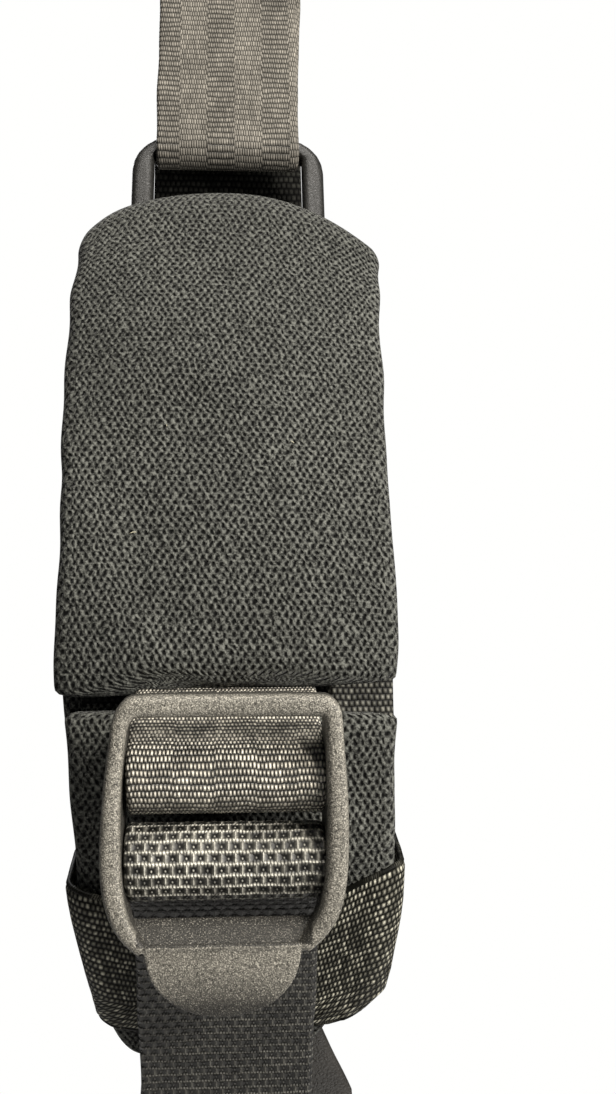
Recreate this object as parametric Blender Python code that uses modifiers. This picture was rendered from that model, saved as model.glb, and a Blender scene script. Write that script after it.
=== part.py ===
"""Saxophone neck strap: a padded loop with a ladderlock adjuster and a swivel bolt snap.

The strap hangs from its top as a teardrop loop in the Y-Z plane. Front is -Y, up is +Z, and
the origin is the inner face of the webbing at the very top, where it rests on the neck.
Every length below is in millimetres; MM turns it into metres.
"""
import bpy
import bmesh
from math import atan2, cos, hypot, pi, radians, sin

MM = 0.001
CLEARANCE = 0.3
WELD_DISTANCE = 0.002

# Webbing
FINE_WIDTH = 24.2
FINE_THICK = 1.3
COARSE_WIDTH = 24.6
COARSE_THICK = 1.6
NECK_RADIUS = 52.5
RUN_LEAN_DEGREES = 15
RUN_LEAN = radians(RUN_LEAN_DEGREES)
LAYER_PITCH = 1.7
JOINT_GAP = 0.6
FRONT_STEP = 9.0
END_TURN = 138

# Rectangular ring at the top of the pad
RING_LOWER_BAR = (-63.3, -86.2)
RING_LEAN_DEGREES = 21.1
RING_LEAN = radians(RING_LEAN_DEGREES)
RING_PITCH = 20.8
RING_OUTER = 32.6
RING_INNER = 25.2
RING_BAR = 3.7
RING_THICK = 3.0
RING_EDGE = 0.8
RING_SLOT = (1.1, 7.8, 14.0)
BAR_WRAP_RADIUS = 2.95
RING_WRAP_LEG = 9.0
LOOP_END_STEP = 1.5

# Pad: two neoprene layers either side of a middle curve
PAD_MID = [(-63.3, -85.3), (-72.0, -103.0), (-80.0, -121.5), (-86.5, -139.5), (-89.7, -153.0),
           (-91.4, -166.0), (-90.8, -179.0), (-87.0, -192.0), (-81.0, -205.0)]
PAD_LAYER = 3.6
PAD_HALF_GAPS = [(-85.3, 4.2), (-100.0, 3.5), (-168.0, 3.5), (-205.0, 1.5)]
PAD_SIDES = [(-77.0, -23.6, 23.6), (-150.0, -24.0, 24.2), (-165.0, -22.6, 23.4),
             (-185.0, -21.0, 23.8), (-198.0, -18.6, 22.5), (-208.0, -16.8, 15.0)]
SLIT_TOP = -155.8
SLIT_BOTTOM = -162.3
FOLD_HEIGHT = -86.0
CORE_WIDTH = 42.0
CORE_THICK = 1.0
CORE_OFFSET = -1.5
CORE_TOP = -104.0
CORE_BOTTOM = -152.0
GUARD_WIDTH = 28.0
GUARD_THICK = 1.2
GUARD_RISE = 24.0
GUARD_TOP = -88.0
GUARD_BOTTOM = -112.0
FLAP_THICK = 1.8

# Ladderlock
BUCKLE_OUTER = 31.1
BUCKLE_INNER = 25.3
TOP_BAR = ((-114.0, -154.3), (-110.5, -158.0))
ANCHOR_BAR = (-107.2, -164.7)
ADJUST_BAR = (-107.4, -175.6)
BUCKLE_BAR_RADIUS = 2.7
PLATE_RIDGE = (-113.5, -185.5)
TAB_TIP = (-111.0, -195.2)
TAB_HALF = 10.3
TAB_THICK = 1.8

# Sewn loop inside the pad that holds the ring and the ladderlock
ANCHOR_TOP = -98.0
ANCHOR_FRONT = (1.75, -148.0)
ANCHOR_BACK = (0.05, -147.0)
ANCHOR_WRAP = 203

# Elastic keeper
KEEPER_THICK = 1.2
KEEPER_GAP = 0.4
KEEPER_LEVELS = [-181.0, -188.0, -195.0, -201.0]

# Yoke and hook
YOKE_WIDTH = 24.6
YOKE_THICK = 1.8
YOKE_RADIUS = 3.2
YOKE_TOP = -341.5
EYE_BAR = -366.0
WEB_END = -358.0
EYE_WIRE = 2.0
EYE_HALF = 15.0
EYE_BOTTOM = -384.0
EYE_CORNER = 2.5
COLLAR_RADIUS = 5.0
RIVET_X = 7.0
RIVET_Z = -349.0
RIVET_RADIUS = 1.1
RIVET_HEAD = 3.0
RIVET_CAP = 1.1
PIN_RADIUS = 2.0
PIN_SHANK = 5.0
COLLAR_TOP = -381.5
COLLAR_BOTTOM = -389.0
BODY_TOP = -389.4
BODY_BOTTOM = -411.0
BODY_DEPTH = 9.2
BOLT_X = 3.9
BOLT_RADIUS = 2.0
BOLT_TOP = -405.5
BOLT_TIP = -414.2
BORE_TOP = -397.4
KNOB_Z = -407.0
STEM_RADIUS = 1.1
STEM_REACH = 1.6
SLOT_HALF = 1.4
BOLT_TRAVEL = 5.0
HOOK_CENTRE = (-1.0, -423.0)
HOOK_RADIUS = 8.5
HOOK_WIRE = 2.5
SPRING_TURNS = 5
SPRING_TOP = -397.95
SPRING_GAP = 0.55
SPRING_RADIUS = 1.5
SPRING_WIRE = 0.28

X_FROM_OUTLINE = (pi / 2, 0, pi / 2)
FRONT_FROM_OUTLINE = (pi / 2, 0, 0)


# ---------- scene and helpers ----------

def clear_scene():
    for item in list(bpy.data.objects):
        bpy.data.objects.remove(item, do_unlink=True)


def collection(name):
    made = bpy.data.collections.new(name)
    bpy.context.scene.collection.children.link(made)
    return made


def material(name, colour, roughness, metallic=0.0):
    made = bpy.data.materials.new(name)
    made.use_nodes = True
    shader = made.node_tree.nodes["Principled BSDF"]
    shader.inputs["Base Color"].default_value = (*colour, 1.0)
    shader.inputs["Roughness"].default_value = roughness
    shader.inputs["Metallic"].default_value = metallic
    made.diffuse_color = (*colour, 1.0)
    return made


def add_mesh(name, mesh, look):
    """Link a mesh to the parts, with its material."""
    obj = bpy.data.objects.new(name, mesh)
    mesh.materials.clear()
    mesh.materials.append(look)
    parts.objects.link(obj)
    return obj


def as_helper(obj):
    """Make an object a cutter or a piece to join: it isn't a part."""
    for home in list(obj.users_collection):
        home.objects.unlink(obj)
    cutters.objects.link(obj)
    obj.hide_render = True
    obj.display_type = "WIRE"
    return obj


def smooth_path(points, per_span=6):
    """A Catmull-Rom curve through the points, in 2D."""
    path = []
    last = len(points) - 1
    for i in range(last):
        before = points[max(i - 1, 0)]
        start = points[i]
        end = points[i + 1]
        after = points[min(i + 2, last)]
        for step in range(per_span):
            t = step / per_span
            path.append(tuple(
                0.5 * (2 * b + (c - a) * t + (2 * a - 5 * b + 4 * c - d) * t * t
                       + (3 * b - a - 3 * c + d) * t ** 3)
                for a, b, c, d in zip(before, start, end, after)))
    path.append(points[last])
    return path


def arc(centre, radius, start, end, steps):
    """Points on a circle, angles in degrees from +first axis."""
    return [(centre[0] + radius * cos(radians(start + (end - start) * i / steps)),
             centre[1] + radius * sin(radians(start + (end - start) * i / steps)))
            for i in range(steps + 1)]


def offset_point(point, direction, distance):
    return (point[0] + direction[0] * distance, point[1] + direction[1] * distance)


def look_up(table, z, column):
    """A value read between the rows of a table whose first column falls."""
    if z >= table[0][0]:
        return table[0][column]
    for upper, lower in zip(table, table[1:]):
        if z >= lower[0]:
            share = (upper[0] - z) / (upper[0] - lower[0])
            return upper[column] + (lower[column] - upper[column]) * share
    return table[-1][column]


def strip(name, path, thickness, sides, look):
    """A flat strip along a (y, z) path: sides(z) gives its left and right x."""
    bm = bmesh.new()
    rows = []
    for y, z in path:
        left, right = sides(z)
        across = (left, (left + right) / 2, right)
        rows.append([bm.verts.new((x * MM, y * MM, z * MM)) for x in across])
    for upper, lower in zip(rows, rows[1:]):
        for i in range(2):
            bm.faces.new((upper[i], upper[i + 1], lower[i + 1], lower[i]))
    mesh = bpy.data.meshes.new(name)
    bm.to_mesh(mesh)
    bm.free()
    obj = add_mesh(name, mesh, look)
    shell = obj.modifiers.new("Thickness", "SOLIDIFY")
    shell.thickness = thickness * MM
    shell.offset = 0.0
    shell.use_even_offset = True
    return obj


def straight(width):
    return lambda z: (-width / 2, width / 2)


def meshed(curve, name, look):
    """Turn a curve object into a mesh object in the same place."""
    bpy.context.view_layer.update()
    graph = bpy.context.evaluated_depsgraph_get()
    mesh = bpy.data.meshes.new_from_object(curve.evaluated_get(graph))
    bm = bmesh.new()
    bm.from_mesh(mesh)
    bmesh.ops.remove_doubles(bm, verts=bm.verts, dist=WELD_DISTANCE * MM)
    bm.to_mesh(mesh)
    bm.free()
    obj = add_mesh(name, mesh, look)
    obj.matrix_world = curve.matrix_world.copy()
    bpy.data.objects.remove(curve, do_unlink=True)
    obj.name = name
    mesh.name = name
    return obj


def plate(name, outlines, thickness, rotation, look, location=(0, 0, 0)):
    """A flat piece: 2D outlines, holes included, given a thickness."""
    data = bpy.data.curves.new(name, "CURVE")
    data.dimensions = "2D"
    data.fill_mode = "BOTH"
    data.extrude = thickness / 2 * MM
    for outline in outlines:
        spline = data.splines.new("POLY")
        spline.points.add(len(outline) - 1)
        spline.use_cyclic_u = True
        for point, (a, b) in zip(spline.points, outline):
            point.co = (a * MM, b * MM, 0, 1)
    curve = bpy.data.objects.new(name, data)
    parts.objects.link(curve)
    curve.rotation_euler = rotation
    curve.location = [value * MM for value in location]
    return meshed(curve, name, look)


def tube(name, points, radius, look, closed=False, resolution=3):
    """A round bar along 3D points."""
    data = bpy.data.curves.new(name, "CURVE")
    data.dimensions = "3D"
    data.bevel_depth = radius * MM
    data.bevel_resolution = resolution
    data.use_fill_caps = not closed
    spline = data.splines.new("POLY")
    spline.points.add(len(points) - 1)
    spline.use_cyclic_u = closed
    for point, place in zip(spline.points, points):
        point.co = (*[value * MM for value in place], 1)
    curve = bpy.data.objects.new(name, data)
    parts.objects.link(curve)
    return meshed(curve, name, look)


def cylinder(name, radius, length, centre, axis, look, sides=32):
    """A solid cylinder centred on a point, along X, Y or Z."""
    bm = bmesh.new()
    bmesh.ops.create_cone(bm, cap_ends=True, segments=sides, radius1=radius * MM,
                          radius2=radius * MM, depth=length * MM)
    mesh = bpy.data.meshes.new(name)
    bm.to_mesh(mesh)
    bm.free()
    obj = add_mesh(name, mesh, look)
    obj.rotation_euler = {"X": (0, pi / 2, 0), "Y": (pi / 2, 0, 0), "Z": (0, 0, 0)}[axis]
    obj.location = [value * MM for value in centre]
    return obj


def box(name, size, centre, look, rotation=(0, 0, 0)):
    bm = bmesh.new()
    bmesh.ops.create_cube(bm, size=1.0)
    bmesh.ops.scale(bm, vec=[value * MM for value in size], verts=bm.verts)
    mesh = bpy.data.meshes.new(name)
    bm.to_mesh(mesh)
    bm.free()
    obj = add_mesh(name, mesh, look)
    obj.rotation_euler = rotation
    obj.location = [value * MM for value in centre]
    return obj


def combine(obj, helper, operation):
    """Join a helper to a piece (UNION) or cut it away (DIFFERENCE)."""
    as_helper(helper)
    step = obj.modifiers.new(helper.name, "BOOLEAN")
    step.operation = operation
    step.object = helper
    step.solver = "EXACT"
    return obj


def rounded(obj, width, segments=2):
    """Round the sharp edges of a piece."""
    bevel = obj.modifiers.new("Rounding", "BEVEL")
    bevel.width = width * MM
    bevel.segments = segments
    bevel.limit_method = "ANGLE"
    bevel.angle_limit = radians(40)
    bevel.use_clamp_overlap = False
    return obj


def shade_round(obj):
    obj.data.shade_smooth()
    obj.data.set_sharp_from_angle(angle=radians(35))
    return obj


def rounded_rectangle(x0, x1, y0, y1, low_radius, high_radius, steps=6):
    """Corner arcs of a rectangle, counter-clockwise from the lower right."""
    corners = [((x1 - low_radius, y0 + low_radius), low_radius, 270),
               ((x1 - high_radius, y1 - high_radius), high_radius, 0),
               ((x0 + high_radius, y1 - high_radius), high_radius, 90),
               ((x0 + low_radius, y0 + low_radius), low_radius, 180)]
    outline = []
    for centre, radius, start in corners:
        outline += arc(centre, radius, start, start + 90, steps)
    return outline


def on_joint(name, place, pieces):
    """Hang pieces on an empty that stands on their joint's axis."""
    pivot = bpy.data.objects.new(name, None)
    pivot.location = [value * MM for value in place]
    parts.objects.link(pivot)
    bpy.context.view_layer.update()
    for piece in pieces:
        piece.parent = pivot
        piece.matrix_parent_inverse = pivot.matrix_world.inverted()


# ---------- curves that several pieces share ----------

def pad_frames():
    """Points of the pad's middle curve, each with the unit vector to its outer face."""
    points = smooth_path(PAD_MID, 5)
    frames = []
    for i, point in enumerate(points):
        before = points[max(i - 1, 0)]
        after = points[min(i + 1, len(points) - 1)]
        along = (after[0] - before[0], after[1] - before[1])
        size = hypot(*along)
        frames.append((point, (along[1] / size, -along[0] / size)))
    return frames


def pad_line(offset, top, bottom):
    """The pad's middle curve moved towards its outer face, between two heights."""
    line = []
    for point, out in pad_frames():
        if bottom <= point[1] <= top:
            move = offset(point[1]) if callable(offset) else offset
            line.append(offset_point(point, out, move))
    return line


def layer_offset(z):
    return look_up(PAD_HALF_GAPS, z, 1) + PAD_LAYER / 2


def pad_sides(z):
    return look_up(PAD_SIDES, z, 1), look_up(PAD_SIDES, z, 2)


RING_UP = (sin(RING_LEAN), cos(RING_LEAN))
RUN_UP = (sin(RUN_LEAN), cos(RUN_LEAN))
RUN_FRONT = (-cos(RUN_LEAN), sin(RUN_LEAN))
RING_TOP_BAR = offset_point(RING_LOWER_BAR, RING_UP, RING_PITCH)
NECK_CENTRE = (0.0, FINE_THICK / 2 - NECK_RADIUS)


# ---------- the loop of fine webbing ----------

def ring_wrap_path():
    """Down in front of the ring's top bar, under it, and up behind."""
    front = offset_point(RING_TOP_BAR, RUN_FRONT, BAR_WRAP_RADIUS)
    front_top = offset_point(front, RUN_UP, RING_WRAP_LEG)
    lean = 180 - RUN_LEAN_DEGREES
    path = [front_top, offset_point(front, RUN_UP, RING_WRAP_LEG / 2)]
    path += arc(RING_TOP_BAR, BAR_WRAP_RADIUS, lean, lean + 180, 12)
    back_top = offset_point(front_top, RUN_FRONT, -LAYER_PITCH)
    back = offset_point(RING_TOP_BAR, RUN_FRONT, -BAR_WRAP_RADIUS)
    path.append(offset_point(back, RUN_UP, LOOP_END_STEP))
    path.append(offset_point(back_top, RUN_UP, -LOOP_END_STEP))
    path.append(back_top)
    return path


def front_run(inward):
    """From just above the ring up to the neck arc."""
    front = offset_point(RING_TOP_BAR, RUN_FRONT, BAR_WRAP_RADIUS - inward)
    low = offset_point(front, RUN_UP, RING_WRAP_LEG + JOINT_GAP)
    return [low, offset_point(low, RUN_UP, FRONT_STEP)]


def build_fine_webbing():
    start = 180 - RUN_LEAN_DEGREES
    neck = arc(NECK_CENTRE, NECK_RADIUS, start, RUN_LEAN_DEGREES, 24)
    back = smooth_path([neck[-1], (62.0, -88.0), (70.5, -132.0), (74.0, -176.0), (70.0, -220.0),
                        (58.0, -260.0), (39.0, -294.0), (19.0, -317.0), (6.5, -329.0),
                        (1.9, -337.0), (0.9, -342.5), (0.9, -350.0), (0.9, WEB_END)], 4)
    path = front_run(0) + neck + back[1:]
    main = strip("upper_webbing", path, FINE_THICK, straight(FINE_WIDTH), fine_look)
    inner = arc(NECK_CENTRE, NECK_RADIUS - LAYER_PITCH, start, END_TURN, 5)
    short = front_run(LAYER_PITCH) + inner
    strip("upper_webbing_end", short, FINE_THICK, straight(FINE_WIDTH), fine_look)
    wrap = strip("upper_webbing_loop", ring_wrap_path(), FINE_THICK, straight(FINE_WIDTH),
                 fine_look)
    return main, wrap


def build_ring():
    outer = rounded_rectangle(-RING_OUTER / 2, RING_OUTER / 2, -RING_BAR / 2,
                              RING_PITCH + RING_BAR / 2, 5.0, 7.0)
    hole = rounded_rectangle(-RING_INNER / 2, RING_INNER / 2, RING_BAR / 2,
                             RING_PITCH - RING_BAR / 2, 0.8, 0.8, 3)
    place = (0, *RING_LOWER_BAR)
    turn = (pi / 2 - RING_LEAN, 0, 0)
    ring = plate("slide_ring", [outer, hole], RING_THICK, turn, plastic_look, place)
    return shade_round(rounded(ring, RING_EDGE))


# ---------- the pad ----------

def build_pad():
    """The folded sheet, slotted for the ring's side rails, and the lower front panel."""
    fold = PAD_MID[0]
    out = pad_frames()[0][1]
    turn = atan2(out[1], out[0]) * 180 / pi
    front = pad_line(layer_offset, FOLD_HEIGHT, SLIT_TOP)
    over = arc(fold, layer_offset(fold[1]), turn, turn - 180, 12)
    back = pad_line(lambda z: -layer_offset(z), FOLD_HEIGHT, PAD_MID[-1][1])
    wrap = strip("pad_wrap", front[::-1] + over + back, PAD_LAYER, pad_sides, pad_look)
    rail = (RING_OUTER - RING_INNER) / 2
    rail_x = RING_OUTER / 2 - rail / 2
    play, slot_depth, slot_height = RING_SLOT
    slot_centre = offset_point(RING_LOWER_BAR, RING_UP, slot_height / 2)
    for side, x in (("left", -rail_x), ("right", rail_x)):
        cutter = box("ring_slot_" + side, (rail + play, slot_depth, slot_height),
                     (x, *slot_centre), pad_look, (-RING_LEAN, 0, 0))
        combine(wrap, cutter, "DIFFERENCE")
    lower = pad_line(layer_offset, SLIT_BOTTOM, PAD_MID[-1][1])
    strip("pad_lower_panel", lower, PAD_LAYER, pad_sides, pad_look)
    core = pad_line(CORE_OFFSET, CORE_TOP, CORE_BOTTOM)
    strip("core_tape", core, CORE_THICK, straight(CORE_WIDTH), tape_look)


def build_ring_guard():
    """A tape sewn to the pad's back that stands up behind the ring."""
    behind = layer_offset(PAD_MID[0][1]) + PAD_LAYER / 2 + CLEARANCE + GUARD_THICK / 2
    path = pad_line(-behind, GUARD_TOP, GUARD_BOTTOM)[::-1]
    foot = offset_point(RING_LOWER_BAR, (cos(RING_LEAN), -sin(RING_LEAN)), behind + CLEARANCE)
    path += [offset_point(foot, RING_UP, GUARD_RISE * third / 3) for third in range(4)]
    strip("ring_guard", path, GUARD_THICK, straight(GUARD_WIDTH), tape_look)


def build_anchor():
    """A sewn loop: over the ring's lower bar, down inside the pad, out and round the ladderlock."""
    front_leg = pad_line(ANCHOR_FRONT[0], ANCHOR_TOP, ANCHOR_FRONT[1])
    back_leg = pad_line(ANCHOR_BACK[0], ANCHOR_TOP, ANCHOR_BACK[1])
    ring_turn = 180 - RING_LEAN_DEGREES
    over = arc(RING_LOWER_BAR, BAR_WRAP_RADIUS, ring_turn - ANCHOR_WRAP, ring_turn, 14)
    out = smooth_path([front_leg[-1], (-91.6, -153.4), (-92.8, -156.4), (-95.8, -157.3),
                       (-101.6, -159.1)], 3)
    round_bar = arc(ANCHOR_BAR, BUCKLE_BAR_RADIUS + CLEARANCE + FINE_THICK / 2, 108, 372, 18)
    back = smooth_path([round_bar[-1], (-101.4, -161.4), (-98.6, -160.1), (-94.9, -159.1),
                        (-91.1, -157.6), (-89.7, -153.6), back_leg[-1]], 3)
    seam = len(back_leg) // 2
    path = back_leg[:seam][::-1] + over + front_leg + out[1:] + round_bar + back[1:]
    path += back_leg[seam + 1:-1][::-1]
    strip("anchor_webbing", path, FINE_THICK, straight(FINE_WIDTH), fine_look)


def build_keeper():
    """A closed elastic band round both layers of the pad, widest at its top."""
    bm = bmesh.new()
    loops = []
    frames = pad_frames()
    for level in KEEPER_LEVELS:
        point, out = min(frames, key=lambda frame: abs(frame[0][1] - level))
        around = [pad_sides(point[1] + step) for step in (-3, 0, 3)]
        left = min(side[0] for side in around)
        right = max(side[1] for side in around)
        grow = KEEPER_GAP + KEEPER_THICK / 2
        depth = layer_offset(point[1] + 2.0) + PAD_LAYER / 2 + grow
        outline = rounded_rectangle(left - grow, right + grow, -depth, depth, 1.2, 1.2, 4)
        ring = []
        for x, depth_here in outline:
            y, z = offset_point(point, out, depth_here)
            ring.append(bm.verts.new((x * MM, y * MM, z * MM)))
        loops.append(ring)
    count = len(loops[0])
    for upper, lower in zip(loops, loops[1:]):
        for i in range(count):
            j = (i + 1) % count
            bm.faces.new((upper[i], upper[j], lower[j], lower[i]))
    mesh = bpy.data.meshes.new("elastic_keeper")
    bm.to_mesh(mesh)
    bm.free()
    band = add_mesh("elastic_keeper", mesh, elastic_look)
    shell = band.modifiers.new("Thickness", "SOLIDIFY")
    shell.thickness = KEEPER_THICK * MM
    shell.offset = 0.0
    return shade_round(band)


def build_guard_flap():
    """A smooth tongue sewn between the layers at the pad's lower end."""
    path = smooth_path([(-84.1, -198.5), (-81.0, -205.0), (-76.0, -216.0), (-70.5, -228.0),
                        (-63.5, -240.0), (-58.5, -248.0)], 4)
    sides = [(-198.0, -10.0, 11.0), (-207.0, -11.5, 13.0), (-222.0, -13.5, 18.0),
             (-238.0, -14.0, 19.0), (-244.0, -11.5, 16.5), (-248.0, -6.0, 10.0)]
    strip("guard_flap", path, FLAP_THICK,
          lambda z: (look_up(sides, z, 1), look_up(sides, z, 2)), leather_look)


# ---------- the ladderlock and the coarse adjuster webbing ----------

def build_ladderlock():
    rail_outline = [(-114.0, -154.2), (-110.2, -154.2), (-104.6, -160.4), (-104.1, -166.0),
                    (-104.3, -178.0), (-106.4, -182.2), (-111.4, -187.2), (-113.6, -186.8),
                    (-114.2, -184.4), (-114.0, -176.0)]
    rail = (BUCKLE_OUTER - BUCKLE_INNER) / 2
    rail_x = BUCKLE_OUTER / 2 - rail / 2
    buckle = plate("ladderlock", [rail_outline], rail, X_FROM_OUTLINE, plastic_look, (-rail_x, 0, 0))
    other = plate("rail_right", [rail_outline], rail, X_FROM_OUTLINE, plastic_look, (rail_x, 0, 0))
    combine(buckle, other, "UNION")
    span = BUCKLE_OUTER - rail
    for name, bar in (("anchor_bar", ANCHOR_BAR), ("adjust_bar", ADJUST_BAR)):
        rod = cylinder(name, BUCKLE_BAR_RADIUS, span, (0, *bar), "X", plastic_look, 28)
        combine(buckle, rod, "UNION")
    (front, top), (rear, low) = TOP_BAR
    bar = box("top_bar", (span, rear - front, top - low), (0, (front + rear) / 2, (top + low) / 2),
              plastic_look)
    combine(buckle, bar, "UNION")
    web = [(-109.9, -181.2), (-108.9, -182.6), (-112.0, -186.6), (-113.6, -186.2), (-113.9, -185.0)]
    ridge = plate("plate_web", [web], span, X_FROM_OUTLINE, plastic_look)
    combine(buckle, ridge, "UNION")
    fall = (TAB_TIP[0] - PLATE_RIDGE[0], TAB_TIP[1] - PLATE_RIDGE[1])
    reach = hypot(*fall)
    turns = [pi * i / 20 for i in range(21)]
    tab_outline = [(TAB_HALF, 1.0), (-TAB_HALF, 1.0)]
    tab_outline += [(-TAB_HALF * cos(turn), -reach * sin(turn)) for turn in turns]
    lean = atan2(-fall[1], -fall[0])
    tab = plate("thumb_tab", [tab_outline], TAB_THICK, (lean, 0, 0), plastic_look,
                (0, PLATE_RIDGE[0] + 0.9, PLATE_RIDGE[1] - 0.4))
    combine(buckle, tab, "UNION")
    return shade_round(buckle)


def build_adjuster():
    """Coarse webbing: the loaded leg, the turn round the ladderlock's bar, and the hanging tail."""
    radius = BUCKLE_BAR_RADIUS + CLEARANCE + COARSE_THICK / 2
    turn = arc(ADJUST_BAR, radius, 0, 235, 16)
    wrap_path = [(ADJUST_BAR[0] + radius, -178.6)] + turn + [(-108.2, -179.7), (-106.6, -180.9)]
    wrap = strip("adjuster_wrap", wrap_path, COARSE_THICK, straight(COARSE_WIDTH), coarse_look)
    leg_path = smooth_path([(-103.6, -179.2), (-102.6, -183.2), (-99.5, -188.2), (-95.9, -194.4),
                            (-92.6, -200.8), (-89.4, -207.7), (-84.5, -217.0), (-78.5, -227.0),
                            (-69.5, -241.0), (-58.5, -257.0), (-46.5, -274.0), (-34.5, -291.0),
                            (-22.5, -306.0), (-12.0, -319.0), (-5.0, -329.0), (-1.6, -337.0),
                            (-0.85, -342.5), (-0.85, -350.0), (-0.85, WEB_END)], 3)
    leg = strip("adjuster_leg", leg_path, COARSE_THICK, straight(COARSE_WIDTH), coarse_look)
    tail_path = smooth_path([(-106.0, -181.5), (-104.3, -184.2), (-101.2, -189.2), (-97.6, -195.4),
                             (-94.3, -201.8), (-91.2, -208.6), (-88.3, -217.0), (-86.2, -228.0),
                             (-85.2, -240.0), (-85.0, -255.0), (-85.0, -272.0)], 3)
    strip("adjuster_tail", tail_path, COARSE_THICK, straight(COARSE_WIDTH), coarse_look)
    fold = (-86.0, -284.0)
    stop = [(-85.0, -272.4)] + arc(fold, 1.0, 0, -180, 8) + [(-87.0, -273.0)]
    strip("tail_stop", stop, COARSE_THICK, straight(COARSE_WIDTH), coarse_look)
    return wrap, leg


# ---------- the yoke and the hook ----------

def build_yoke(main, leg):
    low = (0.0, EYE_BAR)
    path = [(YOKE_RADIUS, YOKE_TOP)]
    path += arc(low, YOKE_RADIUS, 0, -180, 12)
    path += [(-YOKE_RADIUS, YOKE_TOP)]
    yoke = strip("yoke_strap", path, YOKE_THICK, straight(YOKE_WIDTH), leather_look)
    face = YOKE_RADIUS + YOKE_THICK / 2
    for side, x in (("left", -RIVET_X), ("right", RIVET_X)):
        cutter = cylinder("rivet_hole_" + side, RIVET_RADIUS + CLEARANCE, 4 * face,
                          (x, 0, RIVET_Z), "Y", metal_look, 20)
        for piece in (yoke, main, leg):
            combine(piece, cutter, "DIFFERENCE")
        turned("yoke_rivet_" + side, rivet_profile(face), metal_look, (x, 0, RIVET_Z),
               (-pi / 2, 0, 0))


def rivet_profile(face):
    """Half outline of a double-capped rivet, from its back cap to its front cap."""
    low = face + CLEARANCE
    high = low + RIVET_CAP
    half = [(0.0, high), (1.8, high - 0.15), (RIVET_HEAD - 0.3, high - 0.5), (RIVET_HEAD, low + 0.2),
            (RIVET_HEAD, low), (RIVET_RADIUS, low)]
    return half + [(r, -h) for r, h in reversed(half)]


def turned(name, profile, look, place, rotation=(0, 0, 0), steps=24):
    """A turned piece: a profile of (radius, height), top to bottom, spun about Z."""
    bm = bmesh.new()
    line = [bm.verts.new((r * MM, 0, h * MM)) for r, h in profile]
    for a, b in zip(line, line[1:]):
        bm.edges.new((a, b))
    mesh = bpy.data.meshes.new(name)
    bm.to_mesh(mesh)
    bm.free()
    obj = add_mesh(name, mesh, look)
    spin = obj.modifiers.new("Turning", "SCREW")
    spin.steps = steps
    spin.render_steps = steps
    spin.use_merge_vertices = True
    spin.merge_threshold = 0.00001
    spin.use_smooth_shade = True
    obj.location = [value * MM for value in place]
    obj.rotation_euler = rotation
    return obj


def build_swivel():
    """A D-shaped eye with a collar that the hook turns in."""
    corner_x = EYE_HALF - EYE_CORNER
    corner_z = EYE_BAR - EYE_CORNER
    outline = arc((corner_x, corner_z), EYE_CORNER, 0, 90, 4)
    outline += arc((-corner_x, corner_z), EYE_CORNER, 90, 180, 4)
    outline += smooth_path([(-EYE_HALF, EYE_BAR - 6.0), (-12.5, -377.5), (-6.0, -383.0),
                            (0.0, EYE_BOTTOM), (6.0, -383.0), (12.5, -377.5),
                            (EYE_HALF, EYE_BAR - 6.0)], 3)
    eye = tube("swivel_eye", [(x, 0, z) for x, z in outline], EYE_WIRE, metal_look, closed=True)
    height = COLLAR_TOP - COLLAR_BOTTOM
    middle = (COLLAR_TOP + COLLAR_BOTTOM) / 2
    collar = cylinder("eye_collar", COLLAR_RADIUS, height, (0, 0, middle), "Z", metal_look, 36)
    combine(eye, collar, "UNION")
    bore = cylinder("eye_bore", PIN_RADIUS + CLEARANCE, 3 * height, (0, 0, middle), "Z",
                    metal_look, 28)
    combine(eye, bore, "DIFFERENCE")
    return shade_round(eye)


def build_swivel_pin():
    """Headed pin: its head rests in the eye, its shank ends in the hook's body."""
    head = COLLAR_TOP + CLEARANCE
    profile = [(0.0, head + 1.8), (2.4, head + 1.6), (3.3, head + 0.9), (3.4, head),
               (PIN_RADIUS, head), (PIN_RADIUS, BODY_TOP - PIN_SHANK),
               (0.0, BODY_TOP - PIN_SHANK)]
    return turned("swivel_pin", profile, metal_look, (0, 0, 0))


def build_hook():
    """Body block with a bore for the bolt, a slot for its knob, and the curled hook."""
    block = rounded_rectangle(-7.0, 8.0, BODY_BOTTOM, BODY_TOP, 3.0, 4.5, 5)
    body = plate("hook_body", [block], BODY_DEPTH, FRONT_FROM_OUTLINE, metal_look)
    rounded(body, 1.0)
    curl = [(-4.4, 0, -405.5), (-4.9, 0, -411.0)]
    curl += [(x, 0, z) for x, z in arc(HOOK_CENTRE, HOOK_RADIUS, 125, 410, 26)]
    combine(body, tube("hook_curl", curl, HOOK_WIRE, metal_look), "UNION")
    bore_radius = BOLT_RADIUS + CLEARANCE
    bore_length = BORE_TOP - BODY_BOTTOM + 2.0
    bolt_bore = cylinder("bolt_bore", bore_radius, bore_length,
                         (BOLT_X, 0, BORE_TOP - bore_length / 2), "Z", metal_look, 28)
    combine(body, bolt_bore, "DIFFERENCE")
    slot_low = KNOB_Z - SLOT_HALF - 0.1
    slot_high = KNOB_Z + BOLT_TRAVEL + SLOT_HALF + 0.1
    slot = rounded_rectangle(BOLT_X - SLOT_HALF, BOLT_X + SLOT_HALF, slot_low, slot_high,
                             1.3, 1.3, 4)
    slot_depth = BODY_DEPTH / 2 + 1.0
    slot_cut = plate("knob_slot", [slot], slot_depth, FRONT_FROM_OUTLINE, metal_look,
                     (0, -slot_depth / 2, 0))
    combine(body, slot_cut, "DIFFERENCE")
    socket = cylinder("pin_socket", PIN_RADIUS + CLEARANCE, 12.0, (0, 0, BODY_TOP + 0.7), "Z",
                      metal_look, 28)
    combine(body, socket, "DIFFERENCE")
    return shade_round(body)


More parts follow.
